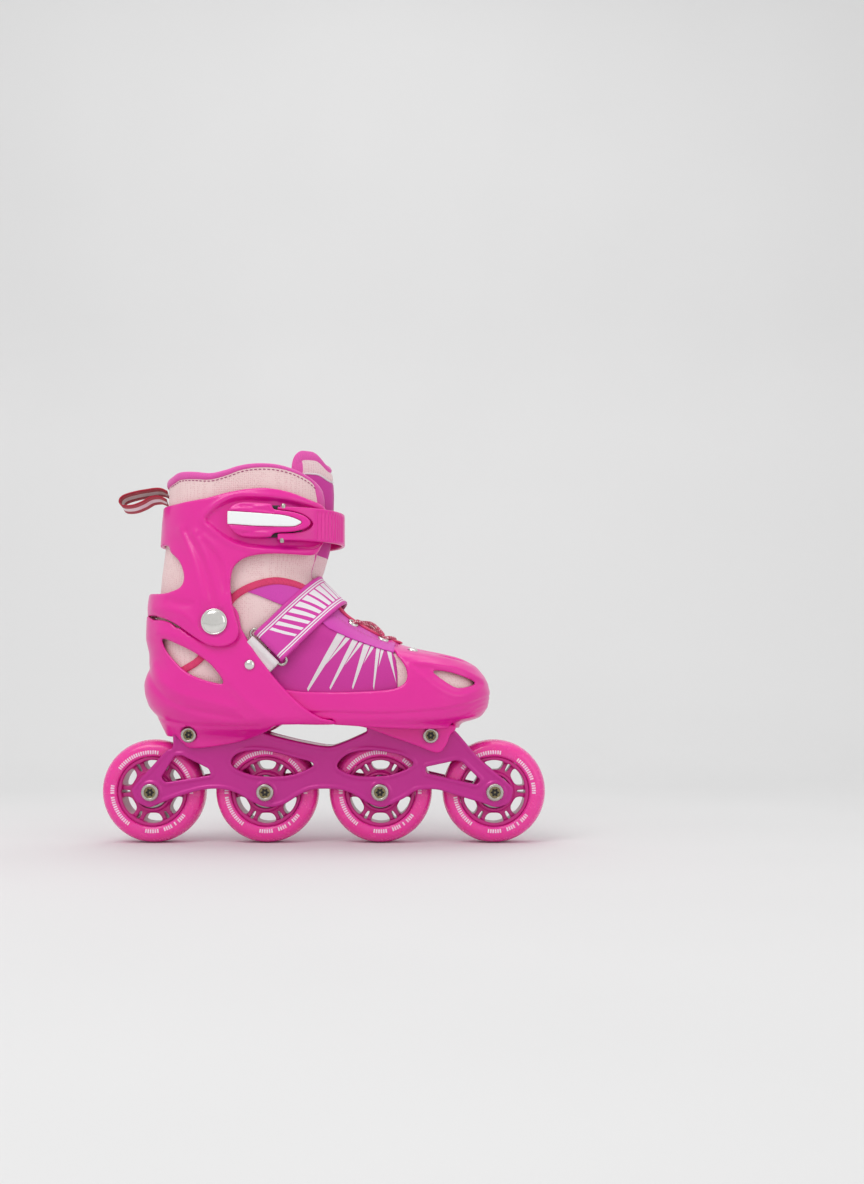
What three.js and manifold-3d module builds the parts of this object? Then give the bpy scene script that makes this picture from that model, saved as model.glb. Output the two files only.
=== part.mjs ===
// Adjustable four-wheel inline skate for the right foot, in millimetres.
// +X points to the toe, +Y to the wearer's left (the inner side of the foot), +Z up.
// The origin lies on the ground, midway between the wheels.
import * as THREE from "three";
import { mergeVertices } from "three/addons/utils/BufferGeometryUtils.js";
import Module from "manifold-3d";

const wasm = await Module();
wasm.setup();

// ---------------------------------------------------------------- driving dimensions
const AXLE_PITCH = 77; // between neighbouring axles
const AXLE_X = [-1.5, -0.5, 0.5, 1.5].map((k) => k * AXLE_PITCH);
const AXLE_Z = 35;
const TYRE_R = 35;
const TYRE_HALF = 12; // half the tyre's width
const TYRE_SEG = 24;
const HUB_R = 23.5;
const HUB_HALF = 10.4;
const BEARING = { outer: 11, inner: 4, from: 5, to: 12 };
const RAIL = { inner: 14.5, outer: 17.3 }; // half-widths of the frame's two side rails
const BOLT_HEAD = { radius: 5.9, height: 2.5 };
const PIVOT = [-68.6, 148.1]; // cuff hinge, x and z
const WALL = 2.8; // moulded shell wall
const LINER_WALL = 4;
const PLATE = { low: 80.7, high: 84, half: 21.5 }; // sole plate that the toe shell slides on
const INSOLE = { low: 90, high: 92.6 };
const GAP = 0.35;

// ---------------------------------------------------------------- colours
const paint = (color, roughness, metalness = 0) =>
  new THREE.MeshStandardMaterial({ color, roughness, metalness });
const MAT = {
  shell: paint(0xe0189c, 0.4),
  frame: paint(0xb0187c, 0.35, 0.6),
  tyre: paint(0xe53f9f, 0.3),
  hub: paint(0xc01880, 0.4),
  steel: paint(0xb9b6ae, 0.3, 1),
  chrome: paint(0xd9d9d9, 0.12, 1),
  black: paint(0x1a1718, 0.5),
  white: paint(0xf2f4f4, 0.35),
  mesh: paint(0xf0c3c4, 0.9),
  lining: paint(0xc8329a, 0.9),
  synthetic: paint(0xbb2fa4, 0.6),
  lace: paint(0xc23b62, 0.8),
  webbing: paint(0xf1eeee, 0.9),
};

// ---------------------------------------------------------------- geometry helpers
const solid = (geometry) => {
  const g = geometry.clone();
  g.deleteAttribute("normal");
  g.deleteAttribute("uv");
  const m = mergeVertices(g, 1e-4);
  return new wasm.Manifold(
    new wasm.Mesh({
      numProp: 3,
      vertProperties: new Float32Array(m.attributes.position.array),
      triVerts: new Uint32Array(m.index.array),
    }),
  );
};
const join = (...parts) => parts.reduce((a, b) => a.add(b));
const cut = (a, ...tools) => tools.reduce((s, b) => s.subtract(b), a);
const geometryOf = (manifold) => {
  const m = manifold.getMesh();
  const position = new Float32Array(m.numVert * 3);
  for (let i = 0; i < m.numVert; i++)
    position.set(m.vertProperties.subarray(i * m.numProp, i * m.numProp + 3), i * 3);
  const g = new THREE.BufferGeometry();
  g.setAttribute("position", new THREE.BufferAttribute(position, 3));
  g.setIndex(new THREE.BufferAttribute(new Uint32Array(m.triVerts), 1));
  return g;
};
// The same solid on the other side of the skate.
const mirrored = (manifold) => {
  const g = geometryOf(manifold).scale(1, -1, 1);
  const index = g.index.array;
  for (let i = 0; i < index.length; i += 3)
    [index[i + 1], index[i + 2]] = [index[i + 2], index[i + 1]];
  return solid(g);
};

const box = (x0, x1, y0, y1, z0, z1) =>
  solid(
    new THREE.BoxGeometry(x1 - x0, y1 - y0, z1 - z0).translate(
      (x0 + x1) / 2,
      (y0 + y1) / 2,
      (z0 + z1) / 2,
    ),
  );

// A side-view outline of [x, z] points as a slab from y0 to y1.
const slab = (outline, y0, y1) => {
  const shape = new THREE.Shape(outline.map(([x, z]) => new THREE.Vector2(x, z)));
  const g = new THREE.ExtrudeGeometry(shape, { depth: y1 - y0, bevelEnabled: false });
  return solid(g.rotateX(Math.PI / 2).translate(0, y1, 0));
};
// A plan-view outline of [x, y] points as a block from z0 to z1.
const block = (outline, z0, z1) => {
  const shape = new THREE.Shape(outline.map(([x, y]) => new THREE.Vector2(x, y)));
  const g = new THREE.ExtrudeGeometry(shape, { depth: z1 - z0, bevelEnabled: false });
  return solid(g.translate(0, 0, z0));
};
// A turned part about the Y axis through (x, z), from [radius, y] points that close on the axis or on themselves.
const turned = (profile, x, z, seg) => {
  const g = new THREE.LatheGeometry(
    profile.map(([r, y]) => new THREE.Vector2(r, y)),
    seg,
  );
  const s = solid(g.rotateY(Math.PI / seg).translate(x, 0, z));
  if (s.volume() > 0) return s;
  const flip = new THREE.LatheGeometry(
    [...profile].reverse().map(([r, y]) => new THREE.Vector2(r, y)),
    seg,
  );
  return solid(flip.rotateY(Math.PI / seg).translate(x, 0, z));
};
const rod = (x, z, r, y0, y1, seg = 14) =>
  turned([[0, y0], [r, y0], [r, y1], [0, y1]], x, z, seg);
// A round bar of radius r along a list of points, with flat ends; a closed list makes a ring.
const bar = (points, r, sides = 6, closed = false) => {
  const n = points.length;
  const at = (i) => points[closed ? (i + n) % n : Math.min(Math.max(i, 0), n - 1)];
  const position = [];
  let up = new THREE.Vector3(0, 0, 1);
  for (let i = 0; i < n; i++) {
    const t = at(i + 1).clone().sub(at(i - 1)).normalize();
    const u = up.clone().sub(t.clone().multiplyScalar(up.dot(t))).normalize();
    up = u;
    const v = t.clone().cross(u);
    for (let k = 0; k < sides; k++) {
      const a = (2 * Math.PI * k) / sides;
      const p = points[i].clone().addScaledVector(u, r * Math.cos(a)).addScaledVector(v, r * Math.sin(a));
      position.push(p.x, p.y, p.z);
    }
  }
  const index = [];
  const rings = closed ? n : n - 1;
  for (let i = 0; i < rings; i++)
    for (let k = 0; k < sides; k++) {
      const a = i * sides + k, b = i * sides + ((k + 1) % sides);
      const c = ((i + 1) % n) * sides + k, d = ((i + 1) % n) * sides + ((k + 1) % sides);
      index.push(a, b, c, b, d, c);
    }
  if (!closed)
    for (let k = 1; k < sides - 1; k++) {
      index.push(0, k + 1, k);
      const e = (n - 1) * sides;
      index.push(e, e + k, e + k + 1);
    }
  const g = new THREE.BufferGeometry();
  g.setAttribute("position", new THREE.BufferAttribute(new Float32Array(position), 3));
  g.setIndex(index);
  return solid(g);
};

// ---------------------------------------------------------------- the boot's body form
// Each row: height, rearmost x, foremost x, half-width over the heel, half-width over the ball.
const LINER_FORM = [
  [84.4, -106, 99, 27, 32], [90, -112, 105, 31, 35.5], [98, -116.5, 109, 33.5, 36.8],
  [106, -117.5, 108, 34.6, 36.8], [113, -116.6, 104.5, 35.2, 36.4], [119, -114.8, 98.5, 35.6, 35.6],
  [124, -114.4, 89, 36, 34.4], [128, -114.6, 75, 36.2, 33], [131, -114.8, 60, 36.4, 32],
  [136, -115, 44, 36.6, 31.4], [144, -114.8, 29, 36.9, 30.9],
  [152, -114, 16.5, 37.2, 30.8], [160, -112.6, 9.5, 37.2, 31], [170, -111, 2.5, 37, 31.6],
  [180, -110.2, -6, 36.6, 32.4], [190, -108.8, -3, 36.4, 32.8], [200, -107.5, -0.5, 36.2, 33],
  [215, -106.6, 1.5, 36, 33.4], [230, -105.5, 2, 36, 33.8], [256, -105.2, 2, 36, 34],
];
const HEEL_FORM = [
  [62, -97, 120, 20.3, 20.3], [66, -103, 120, 20.8, 20.6], [72, -107, 120, 22.6, 21.5],
  [78, -110, 120, 27, 28], [84, -112.6, 120, 31.5, 38], [92, -119, 120, 35.4, 42],
  [100, -121.8, 120, 37.2, 42.6], [108, -122.5, 120, 38.3, 42.6], [119, -118.9, 120, 39.4, 42.2],
  [128, -118.8, 120, 40.2, 42], [138, -121.2, 120, 41, 41.6], [150, -120.8, 120, 41, 41.2],
  [170, -119, 120, 41, 41.2],
];
const CUFF_FORM = [
  [126, -117, 22, 44.6, 44.4], [150, -119.6, 17, 44.8, 44], [160, -120.2, 15, 44.6, 43.6],
  [170, -118.4, 12.5, 44, 43], [185, -114, 10.5, 42.6, 41.8], [200, -111.2, 9.5, 41.4, 41],
  [215, -110.4, 9, 41, 40.8], [230, -108.8, 9, 41, 40.8], [242, -107.5, 9, 41, 40.8],
];
const TOE_FORM = [
  [80.9, -90, 93, 36, 38.6], [82.4, -90, 102.5, 37.6, 40.6], [85, -90, 107.8, 38.4, 41.9],
  [92, -90, 112.6, 38.8, 42.6], [98.3, -90, 113.6, 38.8, 42.6], [104.4, -90, 112.6, 38.8, 42.5],
  [112.6, -90, 109.5, 38.8, 41.6], [119.8, -90, 103.4, 38.8, 39.8], [125.3, -90, 93.1, 38.8, 37.4],
  [128.6, -90, 79.5, 38.8, 35.6], [131.1, -90, 65.4, 38.8, 34.4], [135, -90, 50, 38.8, 33.6],
];
const smooth = (a, b, x) => {
  const t = Math.min(Math.max((x - a) / (b - a), 0), 1);
  return t * t * (3 - 2 * t);
};
const rowAt = (form, z) => {
  const n = form.length;
  if (z <= form[0][0]) return form[0];
  if (z >= form[n - 1][0]) return form[n - 1];
  const i = form.findIndex((r) => r[0] > z) - 1;
  const t = (z - form[i][0]) / (form[i + 1][0] - form[i][0]);
  return form[i].map((v, k) => v + t * (form[i + 1][k] - v));
};
// Half-width at x in the plan section at height z; grow moves the surface outwards.
const halfWidth = (form, x, z, grow = 0, ease = [-60, 45]) => {
  const [, back, front, heel, ball] = rowAt(form, z);
  const w = heel + (ball - heel) * smooth(...ease, x) + grow;
  const rear = 1.08 * (heel + grow), fore = 1.2 * (ball + grow);
  const tr = Math.min(Math.max((back - grow + rear - x) / rear, 0), 1);
  const tf = Math.min(Math.max((x - (front + grow - fore)) / fore, 0), 1);
  return w * Math.sqrt(Math.max(0, 1 - tr * tr)) * Math.sqrt(Math.max(0, 1 - tf ** 2.2));
};
const loft = (form, levels, grow = 0, seg = 28, ease = [-60, 45]) => {
  const position = [], index = [];
  levels.forEach((z) => {
    const [, back, front] = rowAt(form, z);
    const mid = (back + front) / 2, reach = (front - back) / 2 + grow;
    for (let k = 0; k < seg; k++) {
      const a = (2 * Math.PI * k) / seg;
      const x = mid + reach * Math.cos(a);
      const y = k === 0 || 2 * k === seg ? 0 : Math.sign(Math.sin(a)) * halfWidth(form, x, z, grow, ease);
      position.push(x, y, z);
    }
  });
  const top = levels.length - 1;
  for (let i = 0; i < top; i++)
    for (let k = 0; k < seg; k++) {
      const a = i * seg + k, b = i * seg + ((k + 1) % seg);
      index.push(a, b, a + seg, b, b + seg, a + seg);
    }
  // Each flat end is a strip of triangles across the width.
  const strip = (o, up) => {
    for (let k = 0; k < seg / 2; k++) {
      const a = o + k, b = o + k + 1, c = o + ((seg - k) % seg), d = o + seg - k - 1;
      if (k > 0) index.push(...(up ? [a, b, c] : [a, c, b]));
      if (k + 1 < seg / 2) index.push(...(up ? [b, d, c] : [b, c, d]));
    }
  };
  strip(0, false);
  strip(top * seg, true);
  const g = new THREE.BufferGeometry();
  g.setAttribute("position", new THREE.BufferAttribute(new Float32Array(position), 3));
  g.setIndex(index);
  return solid(g);
};
const zs = (form, low, high) => [low, ...form.map((r) => r[0]).filter((z) => z > low + 1.2 && z < high - 1.2), high];

// ---------------------------------------------------------------- collected nodes
const group = new THREE.Group();
group.name = "inline_skate";
const put = (name, manifold, material) => {
  const m = new THREE.Mesh(geometryOf(manifold), material);
  m.name = name;
  group.add(m);
};

// ---------------------------------------------------------------- wheels
const tyreProfile = [
  [HUB_R + 0.15, -10.4], [25.6, -TYRE_HALF], [30.2, -11.6], [33.6, -8.2], [TYRE_R, -2.9],
  [TYRE_R, 2.9], [33.6, 8.2], [30.2, 11.6], [25.6, TYRE_HALF], [HUB_R + 0.15, 10.4],
];
const widen = 1 / Math.cos(Math.PI / TYRE_SEG); // facets, not corners, lie at the nominal radius
const closed = (profile) => [...profile, profile[0]];
const polar = (r, deg) => [r * Math.cos((deg * Math.PI) / 180), r * Math.sin((deg * Math.PI) / 180)];
const hubAt = (x) => {
  const body = turned(
    closed([
      [11.3, -12.2], [13.2, -12.2], [13.8, -9], [21.8, -HUB_HALF], [HUB_R, -HUB_HALF],
      [HUB_R, HUB_HALF], [21.8, HUB_HALF], [13.8, 9], [13.2, 12.2], [11.3, 12.2],
      [11.3, 4.8], [9, 4.8], [9, -4.8], [11.3, -4.8],
    ]),
    x, AXLE_Z, 16,
  );
  const windows = [];
  for (let k = 0; k < 6; k++) {
    const mid = 60 * k + 30;
    const big = [[20.8, -16], [21.3, 0], [20.8, 16], [15, 14], [15, -14]];
    const small = [[20.6, 27.4], [20.6, 32.6], [15.6, 32], [15.6, 28]];
    [big, small].forEach((list) =>
      windows.push(
        slab(
          list.map(([r, a]) => {
            const [px, pz] = polar(r, mid + a);
            return [x + px, AXLE_Z + pz];
          }),
          -14, 14,
        ),
      ),
    );
  }
  return cut(body, ...windows);
};
AXLE_X.forEach((x, i) => {
  const n = i + 1;
  put("tyre_" + n, turned(closed(tyreProfile.map(([r, y]) => [r * (r > 24 ? widen : 1), y])), x, AXLE_Z, TYRE_SEG), MAT.tyre);
  put("hub_" + n, hubAt(x), MAT.hub);
  const ring = (s) =>
    turned(
      closed([
        [BEARING.inner, s * BEARING.from], [BEARING.outer - 0.1, s * BEARING.from],
        [BEARING.outer - 0.1, s * BEARING.to], [9, s * 11.5], [6, s * 11.5], [BEARING.inner, s * BEARING.to],
      ]),
      x, AXLE_Z, 12,
    );
  put("bearing_" + n + "_right", ring(-1), MAT.steel);
  put("bearing_" + n + "_left", ring(1), MAT.steel);
  put("bearing_spacer_" + n, turned(closed([[4, -4.7], [5.6, -4.7], [5.6, 4.7], [4, 4.7]]), x, AXLE_Z, 12), MAT.steel);
  const seat = RAIL.outer + 0.15, head = seat + BOLT_HEAD.height;
  const socket = (y0, y1) =>
    slab([0, 60, 120, 180, 240, 300].map((a) => polar(2.4, a)).map(([px, pz]) => [x + px, AXLE_Z + pz]), y0, y1);
  put(
    "axle_bolt_" + n,
    cut(
      turned(
        [[0, -head], [4.6, -head], [BOLT_HEAD.radius, -head + 0.9], [BOLT_HEAD.radius, -seat], [3.75, -seat],
          [3.75, 6], [2.9, 6], [2.9, 16.4], [0, 16.4]],
        x, AXLE_Z, 12,
      ),
      socket(-head - 1, -head + 1.7),
    ),
    MAT.steel,
  );
  put(
    "axle_nut_" + n,
    cut(
      turned(
        [[0, head], [4.6, head], [BOLT_HEAD.radius, head - 0.9], [BOLT_HEAD.radius, seat], [3.75, seat],
          [3.75, 6.4], [3.2, 6.4], [3.2, 16.8], [0, 16.8]],
        x, AXLE_Z, 12,
      ),
      socket(head - 1.4, head + 1),
    ),
    MAT.steel,
  );
});

// ---------------------------------------------------------------- frame
const MOUNT = [[-88.9, 73.7], [72.5, 73.3]]; // bolts that hold the boot, x and z
const railOutline = [
  [-127.8, 34.9], [-126.8, 39], [-116, 50.8], [-104.7, 63.1], [-100.6, 65.2], [-96.4, 79.6], [-60, 79.6],
  [-52, 76.6], [-44, 76.6], [-34.2, 73.2], [-18.1, 69.2], [-2, 66.1], [6.1, 65.7], [16.1, 69.2], [29.2, 75.2],
  [34, 79.6], [84, 79.6], [88.5, 76.4], [92.7, 72.2], [106.8, 56.1], [125.9, 40], [127.4, 34], [124.9, 27.9],
  [116.8, 24.9], [106.8, 27.9], [86.6, 33.9], [78, 36.6], [70.5, 36.9], [62.5, 35.9], [56.4, 31.9],
  [46.3, 26.9], [38.7, 24.9], [30.2, 27.9], [20.2, 33.9], [10.1, 36.9], [-6, 36.9], [-16.1, 32.9],
  [-26.1, 26.9], [-36.2, 24.9], [-46.3, 27.9], [-56.4, 33.9], [-66.4, 36.9], [-78.5, 36.9], [-94.6, 32.9],
  [-110.7, 26.9], [-116.8, 24.9], [-124.8, 28.9],
];
const railWindows = [
  [[-61.4, 54.1], [-58.4, 60.1], [-48.3, 63.1], [-34.2, 62.1], [-18.1, 58.1], [-6, 54.1], [-14.1, 49],
    [-26.1, 46], [-42.3, 46], [-54.3, 49]],
  [[9.7, 53.1], [16.1, 60.1], [28.2, 63.1], [42.3, 62.1], [54.4, 59.1], [60.8, 54.1], [52.4, 49], [40.3, 46],
    [24.2, 46], [14.1, 49]],
  [[-106.7, 45], [-98.6, 58.1], [-94.6, 58.5], [-77.5, 50], [-76.5, 47.6], [-104.7, 43]],
  [[70.5, 51], [89.6, 55.1], [92.7, 54.5], [104.3, 43], [102.7, 41.6], [70.5, 49]],
];
const side = (s, a, b) => [Math.min(s * a, s * b), Math.max(s * a, s * b)];
const rail = (s) =>
  cut(slab(railOutline, ...side(s, RAIL.inner, RAIL.outer)), ...railWindows.map((w) => slab(w, -20, 20)));
const webLine = [[-96.2, 79.6], [-60, 79.6], [-52, 76.6], [-44, 76.6], [-34.2, 73.2], [-18.1, 69.2], [-2, 66.1],
  [6.1, 65.7], [16.1, 69.2], [29.2, 75.2], [34, 79.6], [84, 79.6]];
const web = slab([...webLine, ...[...webLine].reverse().map(([x, z]) => [x, z - 2.6])], -15, 15);
const bosses = AXLE_X.flatMap((x) =>
  [-1, 1].map((s) => turned([[0, s * 12.35], [5.4, s * 12.35], [6.8, s * 15], [0, s * 15]], x, AXLE_Z, 12)),
);
const bores = AXLE_X.map((x) => rod(x, AXLE_Z, 4.1, -20, 20, 10));
const mountBores = MOUNT.map(([x, z]) => rod(x, z, 3.4, -30, 30, 10));
put("frame", cut(join(rail(-1), rail(1), web, ...bosses), ...bores, ...mountBores), MAT.frame);

// The boot bolts clamp the shell's cheeks on the rails, with one wide head on each side.
MOUNT.forEach(([x, z], i) => {
  const face = [21.9, 21.9][i];
  const hex = [0, 60, 120, 180, 240, 300].map((a) => polar(2.2, a)).map(([px, pz]) => [x + px, z + pz]);
  put(
    ["boot_bolt_rear", "boot_bolt_front"][i],
    cut(
      turned(
        [[0, -face - 1.8], [4, -face - 1.8], [5.2, -face - 0.8], [5.2, -face], [3, -face], [3, face],
          [5.2, face], [5.2, face + 0.8], [4, face + 1.8], [0, face + 1.8]],
        x, z, 14,
      ),
      slab(hex, -face - 3, -face - 0.8),
      slab(hex, face + 0.8, face + 3),
    ),
    MAT.steel,
  );
});

// ---------------------------------------------------------------- heel shell with the sole plate
const lobe = [];
for (let a = 150; a >= 0; a -= 25) lobe.push([PIVOT[0] + 16.4 * Math.cos((a * Math.PI) / 180), PIVOT[1] + 15.5 * Math.sin((a * Math.PI) / 180)]);
const heelOutline = [
  [-130, 62.6], [-130, 148.6], [-112, 149.4], [-101.8, 147], [-91, 144.2], ...lobe, [-51.5, 144],
  [-49.6, 140.8], [-42.7, 129], [-33.9, 117.2], [-24, 105.4], [-12.2, 93.6], [-0.4, 85.7], [7.5, 83.9],
  [7.5, 80.8], [-26, 80.8], [-35.8, 76.4], [-43.7, 72.9], [-55.5, 69], [-71.3, 66], [-85, 64.4], [-92.9, 63.6],
  [-100, 64.6],
];
const heelWindow = [
  [-104.5, 137.5], [-93.3, 133.4], [-82.4, 128.1], [-72.6, 121.2], [-65.7, 113.3], [-63.5, 107.9],
  [-71.6, 109.1], [-81.4, 112.3], [-89.3, 116.6], [-97.5, 124.1], [-103, 131],
];
const frontFoot = [
  [22.3, 81], [31.4, 77.9], [46.4, 72.3], [62.5, 66.7], [72.5, 62.7], [78.5, 61.9], [82.5, 66.3], [85.2, 73.3],
  [85.6, 81],
];
const sideVent = [[-126, 60], [-126, 72.2], [-99.4, 72.2], [-97, 80.4], [100, 80.4], [100, 60]];
const channel = slab(sideVent, -17.8, 17.8);
const HEEL_EASE = [-100, -40];
const outerHeel = loft(HEEL_FORM, zs(HEEL_FORM, 62, 166), 0, 32, HEEL_EASE).intersect(slab(heelOutline, -60, 60));
const innerHeel = loft(HEEL_FORM, zs(HEEL_FORM, PLATE.high, 172), -WALL, 32, HEEL_EASE);
const soleOutline = [];
for (let k = -8; k <= 8; k++) soleOutline.push([84 + 2.4 * (1 - (k / 8) ** 2) ** 0.5, (PLATE.half * k) / 8]);
const sole = block([[-60, -PLATE.half], ...soleOutline, [-60, PLATE.half]], PLATE.low, PLATE.high);
const footBlocks = [-1, 1].map((s) => slab(frontFoot, ...side(s, 17.8, 21.4)));
const heelBase = cut(
  join(cut(outerHeel, innerHeel), sole, ...footBlocks),
  channel,
  slab(heelWindow, -60, 60),
  ...mountBores,
  ...MOUNT.flatMap(([x, z]) => [rod(x, z, 5.7, -30, -21.6), rod(x, z, 5.7, 21.6, 30)]),
  rod(...PIVOT, 3.9, -60, 60),
);
const ANCHOR = [-45.8, 120.1];
const BUTTON = [-21, 94.5];
const TUNNEL_HALF = 39.4; // room for the toe shell's tail
const underCuff = slab(
  [[-93, 144.6], [-83, 138], [-74, 132.4], [-64.5, 130.4], [-56, 132.6], [-51, 139], [-50, 170], [-93, 170]],
  -60, 60,
).subtract(loft(CUFF_FORM, zs(CUFF_FORM, 125, 243), -WALL - 0.5, 28));
const heelShell = cut(
  heelBase,
  rod(...ANCHOR, 1.9, -60, 0, 10),
  rod(...BUTTON, 6, 30, 60, 12),
  box(-47, 12, -TUNNEL_HALF, TUNNEL_HALF, 84, 130),
  underCuff,
);
put("heel_shell", heelShell, MAT.shell);
[-1, 1].forEach((s, i) =>
  put(
    ["cuff_rivet_right", "cuff_rivet_left"][i],
    turned(
      [[0, s * 47], [4, s * 46.9], [7, s * 46.3], [8.5, s * 45.5], [8.5, s * 45.15], [3.5, s * 45.15], [3.5, s * 37.9], [0, s * 37.9]],
      ...PIVOT, 16,
    ),
    MAT.chrome,
  ),
);
put(
  "strap_anchor_rivet",
  turned([[0, -44.1], [2.2, -43.7], [3.4, -42.8], [3.4, -42.5], [1.5, -42.5], [1.5, -36.9], [0, -36.9]], ...ANCHOR, 12),
  MAT.steel,
);

// ---------------------------------------------------------------- toe shell, sliding on the sole plate
const TOE_EASE = [0, 50];
const toeOutline = [
  [-22, 84.3], [-33, 94.5], [-44, 104.6], [-23.6, 104], [-11.9, 102.4], [7.7, 102], [27.3, 102.8], [43, 104], [52.8, 106],
  [56.7, 110.3], [56.7, 116.1], [53.8, 123], [49.9, 127.5], [49, 140], [130, 140], [130, 80], [-2, 80], [-30, 84.3],
];
const toeOuter = loft(TOE_FORM, zs(TOE_FORM, 80.9, 134.4), 0, 32, TOE_EASE).intersect(slab(toeOutline, -60, 60));
const toeInner = loft(TOE_FORM, zs(TOE_FORM, 86.8, 131.4), -WALL, 32, TOE_EASE);
const throat = block([[40, -19], [50, -18], [58, -10], [60.5, 0], [58, 10], [50, 18], [40, 19]], 120, 145);
const toeTop = box(30, 53, -17, 17, 120, 145);
const sideSlit = [[74.4, 115.7], [82.3, 115.3], [94.2, 112.3], [103.1, 108.7], [98.1, 106.4], [90.2, 105.2], [84.3, 108.3]];
const leafVent = (s) => block([[76, s * 21], [83, s * 20], [90, s * 15.5], [95, s * 11.5], [90, s * 11.2], [82, s * 13.6]], 100, 145);
const plateGroove = join(box(-100, 87, -22, 22, 79, 84.35), box(-100, 8.2, -60, 60, 79, 84.35));
const toeShell = cut(toeOuter, toeInner, plateGroove, throat, toeTop, slab(sideSlit, -60, 60), leafVent(-1), leafVent(1));
put("toe_shell", toeShell, MAT.shell);

// ---------------------------------------------------------------- cuff
const cuffOutline = [
  [-130, 226.4], [-101.6, 226.6], [-89.9, 227.6], [-74.3, 229.5], [-60.6, 233], [-46.9, 235.4], [-33.2, 235.8],
  [-19.5, 233.4], [-7.8, 229.5], [1, 226.2], [3, 219.8], [3.6, 208], [-0.4, 199.2], [-2.9, 194.3], [-8.8, 192.4],
  [-27.3, 192.8], [-41, 192], [-49.8, 189.4], [-55.7, 184.6], [-57.8, 177.7], [-58, 168.9], [-56.3, 157.2],
  [-53.1, 146.4], [-52.8, 139.6], [-56.7, 134.1], [-64.5, 131.8], [-73.3, 133.7], [-82.1, 139.6], [-91.9, 146.6],
  [-100.7, 149.8], [-108.5, 151.9], [-130, 153.2], [-130, 168.6], [-106.5, 167.4], [-96.8, 168.9], [-91.5, 171.5],
  [-89.5, 176.3], [-90.5, 182.6], [-93.8, 188.9], [-100.1, 194.9], [-104.6, 200], [-130, 201.4],
];
const eyePocket = [
  [-74, 214.5], [-62, 222.5], [-46, 227], [-28, 227.4], [-12, 223.5], [-3, 217], [-3, 210], [-12, 203],
  [-28, 199.8], [-46, 200.6], [-62, 206],
];
const cuffOuter = loft(CUFF_FORM, zs(CUFF_FORM, 127, 241), 0, 28);
const cuffShell = cut(cuffOuter, loft(CUFF_FORM, zs(CUFF_FORM, 125, 243), -WALL, 28)).intersect(slab(cuffOutline, -60, 60));
const pocketTool = slab(eyePocket, -60, 60).subtract(loft(CUFF_FORM, zs(CUFF_FORM, 195, 232), -1.2, 28));
const cuff = cut(cuffShell, pocketTool, box(-20, 20, -19, 19, 180, 245), rod(...PIVOT, 4, -60, 60));
put("cuff", cuff, MAT.shell);

// ---------------------------------------------------------------- buckles and ladder strap
const LADDER = { low: 202, high: 222, from: -28, front: 14, half: 44.7, thick: 2.4 };
const arc = (inset, ridges) => {
  const list = [];
  const n = ridges ? 44 : 20;
  for (let k = 0; k <= n; k++) {
    const a = Math.PI * (k / n - 0.5);
    const bump = ridges && k > 5 && k < n - 5 && k % 2 ? 0.7 : 0;
    const rx = LADDER.front - LADDER.from - inset - bump, ry = LADDER.half - inset - bump;
    list.push([LADDER.from + rx * Math.cos(a), ry * Math.sin(a)]);
  }
  return list;
};
const ladderIn = block([[-60, -LADDER.half + LADDER.thick], ...arc(LADDER.thick, false), [-60, LADDER.half - LADDER.thick]], 190, 240);
const ladderOut = block([[-30, -LADDER.half], ...arc(0, true), [-30, LADDER.half]], LADDER.low, LADDER.high);
const ladderStrap = cut(ladderOut, ladderIn, box(-60, -9, -60, 60, 207.8, 220.2));
put("ladder_strap", ladderStrap, MAT.shell);
const baseIn = block([[-60, -LADDER.half + LADDER.thick + GAP], ...arc(LADDER.thick + GAP, false), [-60, LADDER.half - LADDER.thick - GAP]], 190, 240);
const leverOutline = [
  [-59, 204.6], [-57.5, 203.2], [-50, 202.6], [-40, 203.6], [-33, 207], [-27, 208.9], [-12, 209.4], [-8.6, 211.2],
  [-7.4, 213.6], [-8.6, 216.2], [-12, 218.2], [-27, 219], [-33, 220.8], [-40, 224], [-50, 225.2], [-57.5, 224.8],
  [-59, 223.4],
];
const inlayOutline = [
  [-58.6, 209.6], [-50, 209.4], [-30, 210], [-18, 211.4], [-11.4, 213.6], [-16, 216.4], [-22, 218], [-36, 218.6], [-50, 219], [-58.6, 219.2],
];
const baseBlock = box(-40, -12, -42, -30, 206, 222).intersect(baseIn);
const cuffGrown = loft(CUFF_FORM, zs(CUFF_FORM, 195, 232), GAP, 28);
const pocketFloor = loft(CUFF_FORM, zs(CUFF_FORM, 195, 232), -1.2 + GAP, 28);
const buckleBase = cut(baseBlock, cuffGrown.subtract(slab(eyePocket, -60, 60)), pocketFloor);
const leverBody = cut(
  slab(leverOutline, -46.4, -42.5),
  slab(inlayOutline, -50, -45.6),
  box(-62, -34, -43.3, -40, 206, 222),
);
const inlay = slab(
  inlayOutline.map(([x, z]) => [x + (x < -50 ? 0.4 : x > -14 ? -0.6 : 0), z + (z > 214 ? -0.35 : 0.35)]),
  -46.9, -45.9,
);
put("buckle_base_right", buckleBase, MAT.black);
put("buckle_base_left", mirrored(buckleBase), MAT.black);
put("buckle_lever_right", leverBody, MAT.shell);
put("buckle_lever_left", mirrored(leverBody), MAT.shell);
put("lever_inlay_right", inlay, MAT.white);
put("lever_inlay_left", mirrored(inlay), MAT.white);

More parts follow.
